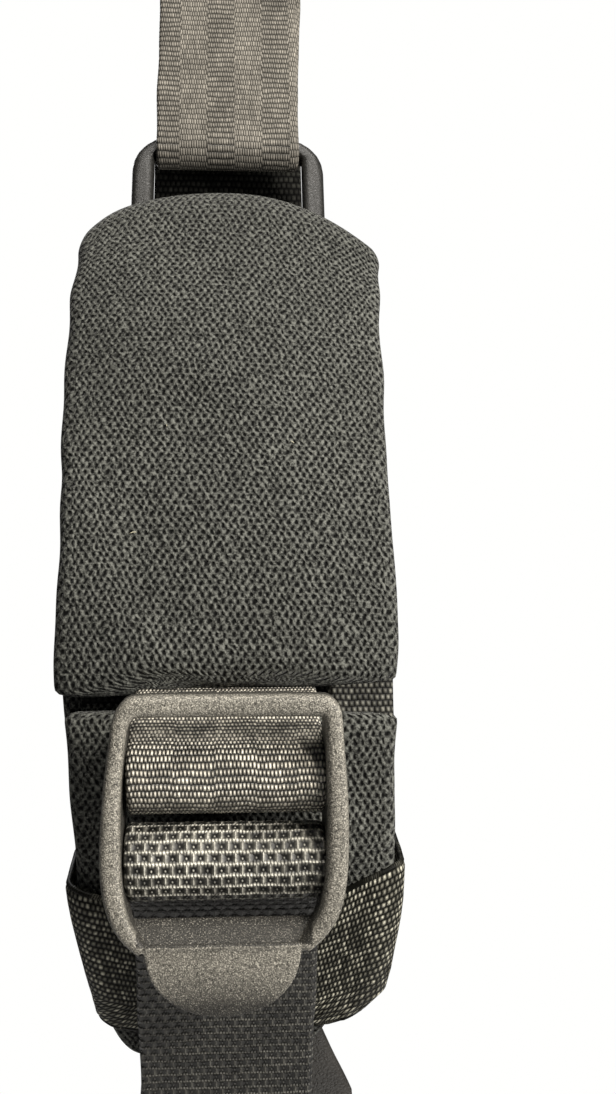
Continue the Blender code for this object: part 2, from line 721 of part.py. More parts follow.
def build_bolt():
    """Sliding bolt with its thumb knob."""
    length = BOLT_TOP - BOLT_TIP
    bolt = cylinder("hook_bolt", BOLT_RADIUS, length, (BOLT_X, 0, (BOLT_TOP + BOLT_TIP) / 2), "Z",
                    metal_look, 28)
    stem_end = BODY_DEPTH / 2 + STEM_REACH
    stem = cylinder("knob_stem", STEM_RADIUS, stem_end, (BOLT_X, -stem_end / 2, KNOB_Z), "Y",
                    metal_look, 18)
    combine(bolt, stem, "UNION")
    profile = [(0.0, 2.4), (1.3, 2.2), (2.2, 1.5), (2.5, 0.7), (2.2, 0.0), (0.0, 0.0)]
    knob = turned("thumb_knob", profile, metal_look,
                  (BOLT_X, -stem_end + 0.8, KNOB_Z), (pi / 2, 0, 0), 20)
    combine(bolt, knob, "UNION")
    return shade_round(bolt)


def build_spring():
    """Compression spring above the bolt."""
    low = BOLT_TOP + SPRING_GAP
    coil = []
    steps = 12 * SPRING_TURNS
    for i in range(steps + 1):
        angle = 2 * pi * i / 12
        x = BOLT_X + SPRING_RADIUS * cos(angle)
        coil.append((x, SPRING_RADIUS * sin(angle), low + (SPRING_TOP - low) * i / steps))
    return shade_round(tube("bolt_spring", coil, SPRING_WIRE, metal_look, resolution=2))


clear_scene()
parts = collection("saxophone_neck_strap")
cutters = collection("cutters")
fine_look = material("fine_webbing", (0.045, 0.043, 0.040), 0.75)
coarse_look = material("coarse_webbing", (0.030, 0.030, 0.030), 0.85)
pad_look = material("knit_neoprene", (0.045, 0.046, 0.046), 0.95)
tape_look = material("woven_tape", (0.040, 0.040, 0.040), 0.9)
elastic_look = material("elastic_band", (0.035, 0.036, 0.032), 0.9)
leather_look = material("smooth_leather", (0.018, 0.018, 0.018), 0.45)
plastic_look = material("acetal_plastic", (0.028, 0.028, 0.028), 0.42)
metal_look = material("nickel_plate", (0.62, 0.62, 0.60), 0.25, 1.0)

upper_webbing, ring_wrap = build_fine_webbing()
slide_ring = build_ring()
build_pad()
build_ring_guard()
build_anchor()
build_keeper()
build_guard_flap()
ladderlock = build_ladderlock()
adjuster_wrap, adjuster_leg = build_adjuster()
build_yoke(upper_webbing, adjuster_leg)
swivel_eye = build_swivel()
swivel_pin = build_swivel_pin()
hook_body = build_hook()
hook_bolt = build_bolt()
bolt_spring = build_spring()

on_joint("ring_pivot", (0, *RING_LOWER_BAR), [slide_ring, ring_wrap])
on_joint("buckle_pivot", (0, *ANCHOR_BAR), [ladderlock, adjuster_wrap])
on_joint("swivel_pivot", (0, 0, EYE_BAR), [swivel_eye])
on_joint("hook_pivot", (0, 0, BODY_TOP), [swivel_pin, hook_body, bolt_spring])
on_joint("bolt_pivot", (BOLT_X, 0, BOLT_TOP), [hook_bolt])
bpy.context.view_layer.update()
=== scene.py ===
from math import atan2, cos, degrees, hypot, pi, radians, sin

import bmesh
import bpy
import numpy as np
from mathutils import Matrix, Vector, noise


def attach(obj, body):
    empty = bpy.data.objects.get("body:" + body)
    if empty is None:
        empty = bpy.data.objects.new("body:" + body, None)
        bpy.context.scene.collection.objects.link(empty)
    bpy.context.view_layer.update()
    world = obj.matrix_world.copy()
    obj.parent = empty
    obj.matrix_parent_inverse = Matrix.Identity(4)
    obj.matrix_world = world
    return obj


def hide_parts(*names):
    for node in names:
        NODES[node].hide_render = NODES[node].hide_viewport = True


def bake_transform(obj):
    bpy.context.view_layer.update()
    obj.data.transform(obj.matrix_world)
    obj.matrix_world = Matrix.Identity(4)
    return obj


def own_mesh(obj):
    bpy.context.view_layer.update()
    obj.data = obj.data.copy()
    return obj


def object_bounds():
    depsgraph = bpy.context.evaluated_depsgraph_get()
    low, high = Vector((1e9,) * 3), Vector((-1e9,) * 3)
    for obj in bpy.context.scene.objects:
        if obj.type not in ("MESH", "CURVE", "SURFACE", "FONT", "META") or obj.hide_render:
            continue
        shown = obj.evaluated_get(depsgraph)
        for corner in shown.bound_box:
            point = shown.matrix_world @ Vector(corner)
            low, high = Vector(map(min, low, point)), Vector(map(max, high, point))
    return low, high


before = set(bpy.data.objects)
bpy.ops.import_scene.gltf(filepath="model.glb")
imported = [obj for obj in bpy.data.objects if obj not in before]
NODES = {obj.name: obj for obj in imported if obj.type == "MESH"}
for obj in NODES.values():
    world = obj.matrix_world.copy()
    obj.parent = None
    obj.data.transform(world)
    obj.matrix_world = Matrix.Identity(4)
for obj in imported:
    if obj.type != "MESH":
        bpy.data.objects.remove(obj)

cad_low, cad_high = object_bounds()
SCENE = bpy.context.scene
MM = 0.001
BLACK = (0.002, 0.002, 0.002)
SURROUND_LIGHT = 0.07
SURROUND_COLOUR = (1.0, 1.0, 0.99, 1)
CAMERA_PLACE = (0.0, -0.264, -0.1355)
CAMERA_TURN = radians(3.8)
FOCAL_LENGTH = 39.5
LAMP_TARGET = (0, -0.09, -0.15)

# Shared sizes and (y, z) places, in millimetres
FINE_WIDTH = 24.2
FINE_THICK = 1.3
COARSE_THICK = 1.6
NECK_RADIUS = 52.5
RUN_LEAN = radians(15)
LAYER_PITCH = 1.7
RING_LOWER_BAR = (-63.3, -86.2)
RING_LEAN = radians(21.1)
RING_PITCH = 20.8
BAR_WRAP = 2.75
PAD_MID = [
    (-63.3, -85.3), (-72, -103), (-80, -121.5), (-86.5, -139.5), (-89.7, -153), (-91.4, -166),
    (-90.8, -179), (-87, -192), (-81, -205), (-78, -211.5)
]
PAD_LAYER = 3.6
PAD_HALF_GAPS = [(-85.3, 4.2), (-100, 3.5), (-168, 3.5), (-205, 1.5)]
# Each height with the pad's left and right x
PAD_SIDES = [
    (-77, -24, 24), (-95, -24.6, 24), (-120, -24.3, 24.2), (-140, -24.4, 24.6),
    (-150, -24.6, 25), (-156, -23.6, 23.9), (-165, -22.9, 23.8), (-185, -21.2, 23.8),
    (-198, -18.8, 22.3), (-206, -17.4, 15.5), (-210, -15.8, 13.5), (-213.5, -12.5, 11)
]
HEM_SPAN = 14.0
SLIT_TOP = -156.3
SLIT_BOTTOM = -161.2
ANCHOR_BAR = (-107.2, -164.7)
ADJUST_BAR = (-107.4, -175.6)
BUCKLE_BAR = 2.7
BUCKLE_SHIFT = -0.45
ROLL_CENTRE = (-107.4, -176.25)
ROLL_RADIUS = 4.2
KNIT_COLUMN = 1.12
KNIT_ROW = 0.9
NET_COLUMN = 1.76
NET_ROW = 1.28
PLATE_TOP = (-110.2, -182.7)
PLATE_RIDGE = (-113.5, -185.5)
TAB_TIP = (-111.0, -195.2)
EYE_BAR = -366.0
YOKE_RADIUS = 3.2
YOKE_TOP = -341.5
WEB_END = -358.0
RING_UP = (sin(RING_LEAN), cos(RING_LEAN))
RUN_UP = (sin(RUN_LEAN), cos(RUN_LEAN))
RUN_FRONT = (-cos(RUN_LEAN), sin(RUN_LEAN))


# --- camera, light and stage ---

def build_stage():
    """A pale round table under the hook, a white surround and soft light."""
    bpy.ops.mesh.primitive_circle_add(vertices=96, radius=0.42, fill_type="NGON",
                                      location=(0, 0, cad_low[2] - 0.04))
    floor = bpy.context.object
    floor.name = "floor"
    floor.data.materials.append(plain_material("floor_paper", (0.9, 0.9, 0.9), 0.9))
    world = SCENE.world or bpy.data.worlds.new("studio")
    SCENE.world = world
    world.use_nodes = True
    tree = world.node_tree
    background = tree.nodes["Background"]
    background.inputs["Color"].default_value = SURROUND_COLOUR
    seen = tree.nodes.new("ShaderNodeLightPath")
    level = tree.nodes.new("ShaderNodeMapRange")
    level.inputs["To Min"].default_value = SURROUND_LIGHT
    tree.links.new(seen.outputs["Is Camera Ray"], level.inputs["Value"])
    tree.links.new(level.outputs["Result"], background.inputs["Strength"])
    area_light("key", (0.36, -0.54, 0.17), LAMP_TARGET, 0.15, 4.1, (1.0, 0.95, 0.87))
    area_light("overhead", (0.04, -0.22, 0.34), (0, -0.07, -0.10), 0.16, 1.5, (1.0, 0.96, 0.90))
    area_light("side", (0.25, -0.24, -0.09), LAMP_TARGET, 0.12, 0.62, (1.0, 0.97, 0.93))
    area_light("rear", (-0.15, 0.65, 0.30), (0, 0, -0.15), 0.5, 3.0, (1.0, 1.0, 1.0))


def linked(name, data):
    """A new object in the scene."""
    obj = bpy.data.objects.new(name, data)
    SCENE.collection.objects.link(obj)
    return obj


def adjusted(thing, **settings):
    """Set some of a thing's properties."""
    for key, value in settings.items():
        setattr(thing, key, value)
    return thing


def area_light(name, place, target, size, power, colour):
    data = bpy.data.lights.new(name, "AREA")
    lamp = linked(name, adjusted(data, energy=power, size=size, color=colour))
    lamp.location = place
    lamp.rotation_euler = (Vector(target) - Vector(place)).to_track_quat("-Z", "Y").to_euler()


def build_camera():
    """Level and close in front of the ladderlock, turned slightly to the right."""
    data = bpy.data.cameras.new("camera")
    camera = linked("camera", adjusted(data, lens=FOCAL_LENGTH, sensor_width=36.0, clip_start=0.01))
    camera.location = CAMERA_PLACE
    camera.rotation_euler = (pi / 2, 0, -CAMERA_TURN)
    SCENE.camera = camera
    SCENE.view_settings.view_transform = "Standard"


# --- materials ---

def operator(name):
    """A method that sends a signal and another value to a math node."""
    return lambda self, other: self.graph.math(name, self, other)


class Signal:
    """A node's output, for use in sums. Each step of a sum becomes a math node."""

    __add__ = operator("ADD")
    __sub__ = operator("SUBTRACT")
    __mul__ = operator("MULTIPLY")
    __truediv__ = operator("DIVIDE")
    __mod__ = operator("MODULO")
    __pow__ = operator("POWER")

    def __init__(self, graph, socket):
        self.graph = graph
        self.socket = socket

    def __rsub__(self, other):
        return self.graph.math("SUBTRACT", other, self)

    def clamped(self):
        """The same sum, held between 0 and 1."""
        self.socket.node.use_clamp = True
        return self


class Graph:
    """Short calls for building one material's node tree."""

    def __init__(self, name, roughness, metallic=0.0):
        self.material = bpy.data.materials.new(name)
        self.material.use_nodes = True
        self.tree = self.material.node_tree
        self.shader = self.tree.nodes["Principled BSDF"]
        self.set("Roughness", roughness)
        self.set("Metallic", metallic)
        self.place = self.node("ShaderNodeTexCoord").outputs["Object"]

    def set(self, name, value):
        """Give one of the shader's sockets a value or a signal."""
        self.plug(self.shader.inputs[name], value)

    def plug(self, socket, value):
        if isinstance(value, Signal):
            value = value.socket
        if isinstance(value, bpy.types.NodeSocket):
            self.tree.links.new(value, socket)
        else:
            socket.default_value = value

    def node(self, kind, inputs=(), **settings):
        """A node with its settings, and a value or a signal for some of its inputs."""
        made = adjusted(self.tree.nodes.new(kind), **settings)
        for key, value in dict(inputs).items():
            self.plug(made.inputs[key], value)
        return made

    def math(self, operation, *values):
        made = self.node("ShaderNodeMath", enumerate(values), operation=operation)
        return Signal(self, made.outputs[0])

    def attribute(self, name):
        """The three parts of a point attribute."""
        read = self.node("ShaderNodeAttribute", attribute_name=name)
        split = self.node("ShaderNodeSeparateXYZ", {0: read.outputs["Vector"]})
        return [Signal(self, part) for part in split.outputs]

    def noise(self, scale, detail=2.0, vector=None):
        place = self.place if vector is None else vector
        made = self.node("ShaderNodeTexNoise", {"Vector": place, "Scale": scale, "Detail": detail})
        return Signal(self, made.outputs["Fac"])

    def random(self, first, second):
        """A steady random value for each pair of whole numbers."""
        pair = self.node("ShaderNodeCombineXYZ", {0: first, 1: second})
        made = self.node("ShaderNodeTexWhiteNoise", {"Vector": pair.outputs[0]}, noise_dimensions="3D")
        return Signal(self, made.outputs["Value"])

    def mix(self, share, dark, light, brightness=None):
        """A share of the way from the dark to the light colour, brightened where that is asked."""
        ends = {"Factor": share, 6: (*dark, 1), 7: (*light, 1)}
        colour = self.node("ShaderNodeMix", ends, data_type="RGBA").outputs[2]
        if brightness is None:
            return colour
        scale = {0: colour, "Scale": brightness}
        return self.node("ShaderNodeVectorMath", scale, operation="SCALE").outputs[0]

    def finished(self, colour, roughness, height, depth, specular=0.5, strength=1.0):
        """The finished material, with relief of a height from 0 to 1 that is depth millimetres deep."""
        sizes = {"Height": height, "Distance": depth * MM, "Strength": strength}
        self.set("Normal", self.node("ShaderNodeBump", sizes).outputs[0])
        self.set("Base Color", colour)
        self.set("Roughness", roughness)
        self.set("Specular IOR Level", specular)
        return self.material


def plain_material(name, colour, roughness):
    graph = Graph(name, roughness)
    graph.set("Base Color", (*colour, 1))
    return graph.material


def thread_cells(graph, pitch, row, stagger, wobble=0.12, block=0.0, step=0.5):
    """Whole and broken parts of the column and row under a point of woven cloth.

    With a block width, every other block of columns is part of a row out of step.
    """
    u, v, _ = graph.attribute("weave")
    drift = graph.noise(260.0) - 0.5
    v = drift * (wobble * 5) + v
    u = drift * wobble + u
    parity = 0.0
    if block:
        parity = floored((u + 60.0) / block) % 2.0
        v = parity * (row * step) + v
    rows = v / row
    row_number = floored(rows)
    columns = u / pitch + (row_number % 2.0) * stagger
    return floored(columns), broken(columns), row_number, broken(rows), parity


def floored(signal):
    return signal.graph.math("FLOOR", signal)


def broken(signal):
    return signal.graph.math("FRACT", signal)


def hump(part, power=1.0):
    """0 at both ends of a cell and 1 in its middle."""
    wave = part.graph.math("SINE", part * pi)
    return part.graph.math("ABSOLUTE", wave) ** power


def fine_weave(name, pitch, row, dark, light, depth=0.25, roughness=0.45, block=0.0,
               gap=(0.95, 0.5), sparkle=0.9, base=0.45, specular=0.25, column_power=0.6, step=0.5):
    """Ribbed webbing: rows of short upright threads, their tops lit by painted highlight, with painted
    shade in the dark gaps between.

    gap gives the power of the row's profile in even and odd blocks of columns.
    """
    graph = Graph(name, roughness)
    column, c_part, line, r_part, parity = thread_cells(graph, pitch, row, 0.5, block=block,
                                                        step=step)
    height = hump(c_part, column_power) * hump(r_part, parity * (gap[1] - gap[0]) + gap[0])
    spark = graph.random(column, line) ** 2.0
    patches = graph.noise(190.0, 3.0)
    # Painted light: the thread tops are painted bright, brightest on random threads as painted glints,
    # and the gaps are painted dark as painted shade.
    share = (height ** 1.2 * (spark * sparkle + base)).clamped()
    share = (share * (graph.noise(2600.0) * 1.2 + 0.4)).clamped()
    colour = graph.mix(share, dark, light, patches + 0.5)
    return graph.finished(colour, patches * 0.3 + (roughness - 0.15), height, depth, specular)


def coarse_weave(name, dark, light):
    """Net-like webbing: ribs of short threads, and cells between bars with a dot in each; the raised
    threads carry painted highlight and the cells painted shade.
    """
    graph = Graph(name, 0.45)
    column, c_part, line, r_part, _ = thread_cells(graph, NET_COLUMN, NET_ROW, 0.5, 0.1)
    u, _, lit_and_shaded = graph.attribute("weave")
    threads = hump(broken(u / (NET_COLUMN / 4)), 0.8)
    weft = (1.0 - hump(r_part, 1.3)) ** 1.4 * (threads * 0.6 + 0.45)
    warp = (1.0 - hump(c_part, 0.55)) * 0.85
    c_off = (c_part - 0.5) * NET_COLUMN
    r_off = (r_part - 0.55) * NET_ROW
    dot = ((1.0 - (c_off * c_off + r_off * r_off) / 0.04) * 0.6).clamped()
    height = graph.math("MAXIMUM", graph.math("MAXIMUM", weft, warp), dot)
    patches = graph.noise(150.0, 3.0)
    # Painted light: the raised threads and dots are painted bright as painted highlight, and the cells
    # dark as painted shade.
    share = (height ** 1.8 * (graph.random(column, line) + 0.5)).clamped()
    # Painted light and shade: the stored share darkens the net away from the bar and darkest behind the
    # plate.
    share = (share * (graph.noise(2400.0) * 2.6 - 0.3)).clamped() * lit_and_shaded
    colour = graph.mix(share, dark, light, patches * 0.8 + 0.6)
    return graph.finished(colour, patches * 0.25 + 0.32, height, 0.32, 0.45)


def knit_material():
    """Staggered pits between the loops of a fine knit, painted dark as painted shade under lighter loops,
    with stray light fibres.
    """
    graph = Graph("knit_face", 0.9)
    u, v, _ = graph.attribute("weave")
    drift = graph.noise(330.0) - 0.5
    jitter = (graph.noise(900.0, 1.0) - 0.5) * 0.55
    u = drift * 1.1 + jitter + u
    v = drift * 0.8 + jitter + v
    across = graph.math("COSINE", u * (2 * pi / KNIT_COLUMN))
    product = across * graph.math("COSINE", v * (pi / KNIT_ROW))
    pit = (product * 1.5 - 0.3).clamped() ** 0.7
    height = (product * -0.3 + 0.7) * (pit * -0.95 + 1.0)
    fibre = graph.noise(2900.0)
    strands = ((fibre - 0.4) * 4.6).clamped()
    fleck = graph.noise(1900.0, 1.0) ** 7.0 * 16.0
    # Painted shade: the share follows the loop height, so the pits are painted dark.
    share = (height ** 1.25 * (strands * 0.75 + 0.16) + fleck * height).clamped()
    colour = graph.mix(share, BLACK, (0.165, 0.169, 0.152), graph.noise(60.0) * 0.5 + 0.75)
    graph.set("Sheen Weight", 0.16)
    graph.set("Sheen Roughness", 0.35)
    return graph.finished(colour, fibre * 0.2 + 0.7, fibre * 0.5 + height, 0.4, 0.08)


def plastic_material(name, dark, light, grain_depth, roughness, lit_front=False):
    """Moulded plastic with a spark-eroded grain, its brightest tips painted glints. Where a share of
    painted light is stored, the lit front keeps its speckle and glints and painted shade dulls them
    behind it and in the recess.
    """
    graph = Graph(name, roughness)
    grain = graph.noise(5600.0)
    coarse = graph.noise(3000.0, 1.0)
    # The grain's brightest tips are painted glints.
    tips = grain ** 8.0 * 40.0
    soft = ((coarse - 0.2) * 0.8).clamped()
    if lit_front:
        # The stored share of painted light: painted shade dulls the speckle and glints away from the
        # front and in the recess.
        lit_share = graph.attribute("weave")[0]
        soft = soft * lit_share
        tips = tips * (lit_share * 0.65 + 0.35)
    share = (tips * 0.6 + soft).clamped()
    patches = graph.noise(120.0, 3.0)
    colour = graph.mix(share, dark, light, patches * 0.9 + 0.55)
    return graph.finished(colour, coarse * 0.4 + (roughness - 0.2), coarse * 0.8 + grain,
                          grain_depth, 0.4)


def leather_material():
    """Smooth dark leather with a faint pebble grain and rubbed patches."""
    graph = Graph("smooth_leather", 0.4)
    cells = graph.node("ShaderNodeTexVoronoi", {"Vector": graph.place, "Scale": 1500.0},
                       feature="DISTANCE_TO_EDGE")
    crease = (Signal(graph, cells.outputs["Distance"]) * 3.0).clamped()
    patches = graph.noise(85.0, 4.0)
    colour = graph.mix(patches, (0.010, 0.0095, 0.009), (0.060, 0.056, 0.050))
    return graph.finished(colour, patches * 0.3 + 0.25, patches * 0.6 + crease, 0.08)


def metal_material():
    """Nickel plate with fine scratches and a little tarnish."""
    graph = Graph("nickel_plate", 0.22, 1.0)
    stretch = graph.node("ShaderNodeMapping", {"Vector": graph.place, "Scale": (1.0, 1.0, 9.0)})
    scratches = graph.noise(700.0, 4.0, stretch.outputs[0])
    tarnish = graph.noise(130.0, 3.0)
    colour = graph.mix(tarnish, (0.46, 0.44, 0.40), (0.72, 0.71, 0.69))
    return graph.finished(colour, scratches * 0.25 + 0.10, scratches, 0.02, strength=0.5)


def thread_material():
    """Twisted bonded thread."""
    graph = Graph("bonded_thread", 0.5)
    twist = graph.noise(2400.0)
    colour = graph.mix(twist, (0.02, 0.02, 0.019), (0.11, 0.105, 0.095))
    return graph.finished(colour, twist * 0.3 + 0.4, twist, 0.08)


# --- shapes ---

def smooth_path(points, per_span=6):
    """A Catmull-Rom curve through the points."""
    path = []
    last = len(points) - 1
    for i in range(last):
        span = list(zip(*[points[min(max(k, 0), last)] for k in range(i - 1, i + 3)]))
        for step in range(per_span):
            t = step / per_span
            path.append(tuple(
                0.5 * (2 * b + (c - a) * t + (2 * a - 5 * b + 4 * c - d) * t * t
                       + (3 * b - a - 3 * c + d) * t ** 3)
                for a, b, c, d in span))
    return path + [points[last]]


def ray(angle):
    """The direction of an angle in degrees."""
    return cos(radians(angle)), sin(radians(angle))


def arc(centre, radius, start, end, steps):
    return [offset_point(centre, ray(start + (end - start) * i / steps), radius)
            for i in range(steps + 1)]


def offset_point(point, direction, distance):
    return (point[0] + direction[0] * distance, point[1] + direction[1] * distance)


def unit(value):
    """Hold a value between 0 and 1."""
    return np.clip(value, 0, 1)


def look_up(table, z):
    """The other columns of a table at a height, between its rows where needed."""
    heights, *columns = zip(*table[::-1])
    return [np.interp(z, heights, column) for column in columns]


def directions(rows):
    """Each row scaled to a length of 1."""
    return rows / np.linalg.norm(rows, axis=-1, keepdims=True)


def lengths_along(points):
    """The distance along an open line, at each of its points."""
    return np.concatenate([[0], np.cumsum(np.linalg.norm(np.diff(points, axis=0), axis=1))])


def read_along(points, along, at):
    """The places at some distances along a line."""
    return np.stack([np.interp(at, along, column) for column in points.T], axis=-1)


def resample(path, spacing):
    """Evenly spaced points along a path, with their left-hand normals and distance along it."""
    points = np.array(path, float)
    keep = np.concatenate([[True], np.diff(lengths_along(points)) > 1e-6])
    points = points[keep]
    along = lengths_along(points)
    count = max(int(along[-1] / spacing), 2)
    places = np.linspace(0, along[-1], count + 1)
    even = read_along(points, along, places)
    slope = directions(np.gradient(even, axis=0))
    normals = np.stack([-slope[:, 1], slope[:, 0]], axis=1)
    return even, normals, places


def loop_slopes(points):
    """The direction of a closed line at each of its points."""
    return directions(np.roll(points, -1, axis=0) - np.roll(points, 1, axis=0))


def line_slopes(points):
    """Each point of an open line, with the line's direction there in its first two coordinates."""
    for i, point in enumerate(points):
        before = points[max(i - 1, 0)]
        after = points[min(i + 1, len(points) - 1)]
        size = hypot(after[0] - before[0], after[1] - before[1])
        yield point, (after[0] - before[0]) / size, (after[1] - before[1]) / size


def band_faces(rings, count, base=0, closed=False):
    """Quads between rings of count points. When closed, the last ring joins the first."""
    faces = []
    for i in range(rings if closed else rings - 1):
        a = base + i * count
        b = base + (i + 1) % rings * count
        for j in range(count):
            k = (j + 1) % count
            faces.append((a + j, a + k, b + k, b + j))
    return faces


def mesh_object(name, vertices, faces, weave, look):
    """A smooth-shaded piece from millimetre coordinates, with its cloth coordinates."""
    mesh = bpy.data.meshes.new(name)
    mesh.from_pydata((np.asarray(vertices) * MM).tolist(), [], faces)
    mesh.update()
    if weave is not None:
        store_weave(mesh, weave)
    mesh.shade_smooth()
    obj = linked(name, mesh)
    coat(mesh, look)
    return obj


def store_weave(mesh, values):
    """Keep three values at each point for the materials to read."""
    data = mesh.attributes.new("weave", "FLOAT_VECTOR", "POINT").data
    data.foreach_set("vector", np.asarray(values, np.float32).ravel())


def coat(mesh, look):
    """Give a mesh one material."""
    mesh.materials.clear()
    mesh.materials.append(look)


def outward(obj):
    """Turn the faces of a closed mesh outwards."""
    bm = bmesh.new()
    bm.from_mesh(obj.data)
    bmesh.ops.recalc_face_normals(bm, faces=bm.faces)
    bm.to_mesh(obj.data)
    bm.free()
    obj.data.shade_smooth()
    return obj


def edge_profile(columns):
    """Across a strip from -1 to 1: inner share, share of the edge rounding, and thickness share."""
    turn = np.radians([20, 40, 60, 80, 90])
    left = [(-1.0, -sin(a), cos(a)) for a in turn[::-1]]
    middle = [(x, 0.0, 1.0) for x in np.linspace(-1, 1, columns)]
    right = [(1.0, sin(a), cos(a)) for a in turn]
    return np.array(left + middle + right)


def strip(name, path, thickness, sides, look, spacing=1.0, columns=24, relief=None, crown=0.0,
          shift=None, end_round=True, wander=0.1, seed=0.0, paint_light=None, flow=0):
    """A closed strip of cloth along a path, with rounded edges.

    sides(point) gives left and right x at a (y, z) point. crown lifts the middle of the left-hand
    face, relief(x, v) lifts both faces, and shift(x, v) moves a point in (y, z).
    The function after seed gives a share of painted light and shade at each point, which is stored with
    the cloth coordinates. flow says which way the cloth's length follows a shift in z near the strip's
    start: 1, -1 or 0 for not at all.
    """
    even, normals, places = resample(path, spacing)
    profile = edge_profile(columns)
    rounding = thickness / 2
    total = places[-1]
    vertices = []
    weave = []
    for point, normal, v in zip(even, normals, places):
        left, right = sides(point)
        left += wander * noise.noise(Vector((v / 9.0, seed, 0.3)))
        right += wander * noise.noise(Vector((v / 9.0, seed, 7.3)))
        middle = (left + right) / 2
        half = (right - left) / 2 - rounding
        x = middle + profile[:, 0] * half + profile[:, 1] * rounding
        thick = profile[:, 2] * thickness / 2
        near = min(v, total - v)
        if end_round and near < rounding:
            thick = thick * max((1 - (1 - near / rounding) ** 2) ** 0.5, 0.12)
        lift = crown * (1 - unit(np.abs(x - middle) / (half + rounding)) ** 2)
        ripple = relief(x, v) * profile[:, 2] if relief else 0.0
        for side in (1, -1):
            y, z = offset_point(point, normal, side * (thick + ripple) + lift)
            length = np.full_like(x, v)
            if shift:
                dy, dz = shift(x, v)
                y += dy
                z += dz
                if v < HEM_SPAN:
                    length += flow * dz
            order = slice(None) if side > 0 else slice(-2, 0, -1)
            vertices.append(np.stack([x, y, z], axis=1)[order])
            # The share of painted light and shade at this point, 1 where none is painted.
            lit_and_shaded = paint_light(point) if paint_light else 1.0
            weave.append(np.stack([x, length, np.full_like(x, lit_and_shaded)], axis=1)[order])
    ring = 2 * len(profile) - 2
    vertices = np.concatenate(vertices)
    weave = np.concatenate(weave)
    faces = band_faces(len(even), ring)
    faces.append(tuple(range(ring))[::-1])
    faces.append(tuple(range(len(vertices) - ring, len(vertices))))
    return outward(mesh_object(name, vertices, faces, weave, look))


def straight(width, centre=0.0):
    return lambda point: (centre - width / 2, centre + width / 2)


def settled(obj):
    """Apply an object's modifiers to its mesh."""
    graph = bpy.context.evaluated_depsgraph_get()
    bpy.context.view_layer.update()
    mesh = bpy.data.meshes.new_from_object(obj.evaluated_get(graph))
    obj.modifiers.clear()
    obj.data = mesh
    mesh.shade_smooth()
    return obj


def softened(obj, voxel, rounds):
    """Round every edge of a hard piece with fine voxels and then smoothing."""
    adjusted(obj.modifiers.new("Voxels", "REMESH"), mode="VOXEL", voxel_size=voxel * MM)
    adjusted(obj.modifiers.new("Smooth", "SMOOTH"), factor=0.5, iterations=rounds)
    return settled(obj)


def soft_copy(node, name, look, body, voxel=0.3, rounds=5):
    """A moulded or cast piece: its CAD solid with rounded edges."""
    obj = softened(linked(name, NODES[node].data.copy()), voxel, rounds)
    coat(obj.data, look)
    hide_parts(node)
    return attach(obj, body)


def loft(sections):
    """Join closed sections of the same count into one closed body."""
    count = len(sections[0])
    vertices = [point for section in sections for point in section]
    ends = [tuple(range(count))[::-1], tuple(range(len(vertices) - count, len(vertices)))]
    return vertices, ends + band_faces(len(sections), count)


def joined(name, shapes, look):
    """One mesh of several closed shapes, each as (vertices, faces)."""
    vertices = []
    faces = []
    for points, polygons in shapes:
        base = len(vertices)
        vertices += list(points)
        faces += [tuple(base + i for i in polygon) for polygon in polygons]
    return outward(mesh_object(name, vertices, faces, None, look))


def circle(first, second, radius, sides):
    """Points round a circle in the plane of two directions."""
    turn = np.linspace(0, 2 * pi, sides, endpoint=False)[:, None]
    return radius * (np.cos(turn) * first + np.sin(turn) * second)


def rod(start, end, radius, sides=24):
    """A cylinder between two points as a loft."""
    start = np.array(start, float)
    end = np.array(end, float)
    axis = directions(end - start)
    first = directions(np.cross(axis, (0, 0, 1) if abs(axis[2]) < 0.9 else (1, 0, 0)))
    ring = circle(first, np.cross(axis, first), radius, sides)
    return loft([start + ring, end + ring])


def stitch_row(points, pitch, length, radius, lift):
    """Short thread humps along a 3D line of (point, outward normal) pairs."""
    shapes = []
    places = np.array([p for p, _ in points], float)
    normals = np.array([n for _, n in points], float)
    along = lengths_along(places)
    for start in np.arange(pitch * 0.3, along[-1] - length, pitch):
        sections = []
        for share, size in ((0, 0.35), (0.2, 0.9), (0.5, 1.0), (0.8, 0.9), (1, 0.35)):
            at = start + share * length
            centre = read_along(places, along, at)
            normal = read_along(normals, along, at)
            tangent = read_along(places, along, at + 0.1) - centre
            tangent /= max(np.linalg.norm(tangent), 1e-9)
            centre = centre + normal * (lift * sin(pi * share) - 0.05)
            sections.append(centre + circle(np.cross(tangent, normal), normal, radius * size, 8))
        shapes.append(loft(sections))
    return shapes


# --- shared curves ---

def pad_frames():
    """Points down the pad's middle surface, each with the direction out of its front."""
    return [(point, (dz, -dy)) for point, dy, dz in line_slopes(smooth_path(PAD_MID, 24))]


def pad_line(offset, top, bottom):
    """A line at an offset from the pad's middle, between two heights."""
    line = []
    for point, out in pad_frames():
        if bottom <= point[1] <= top:
            move = offset(point[1]) if callable(offset) else offset
            line.append(offset_point(point, out, move))
    return line


def layer_offset(z):
    """From the pad's middle to the middle of either layer."""
    return look_up(PAD_HALF_GAPS, z)[0] + PAD_LAYER / 2


def sides_from(table):
    """Left and right x at a (y, z) point, from a table by height."""
    return lambda point: look_up(table, point[1])


pad_sides = sides_from(PAD_SIDES)


# --- the loop of fine webbing ---

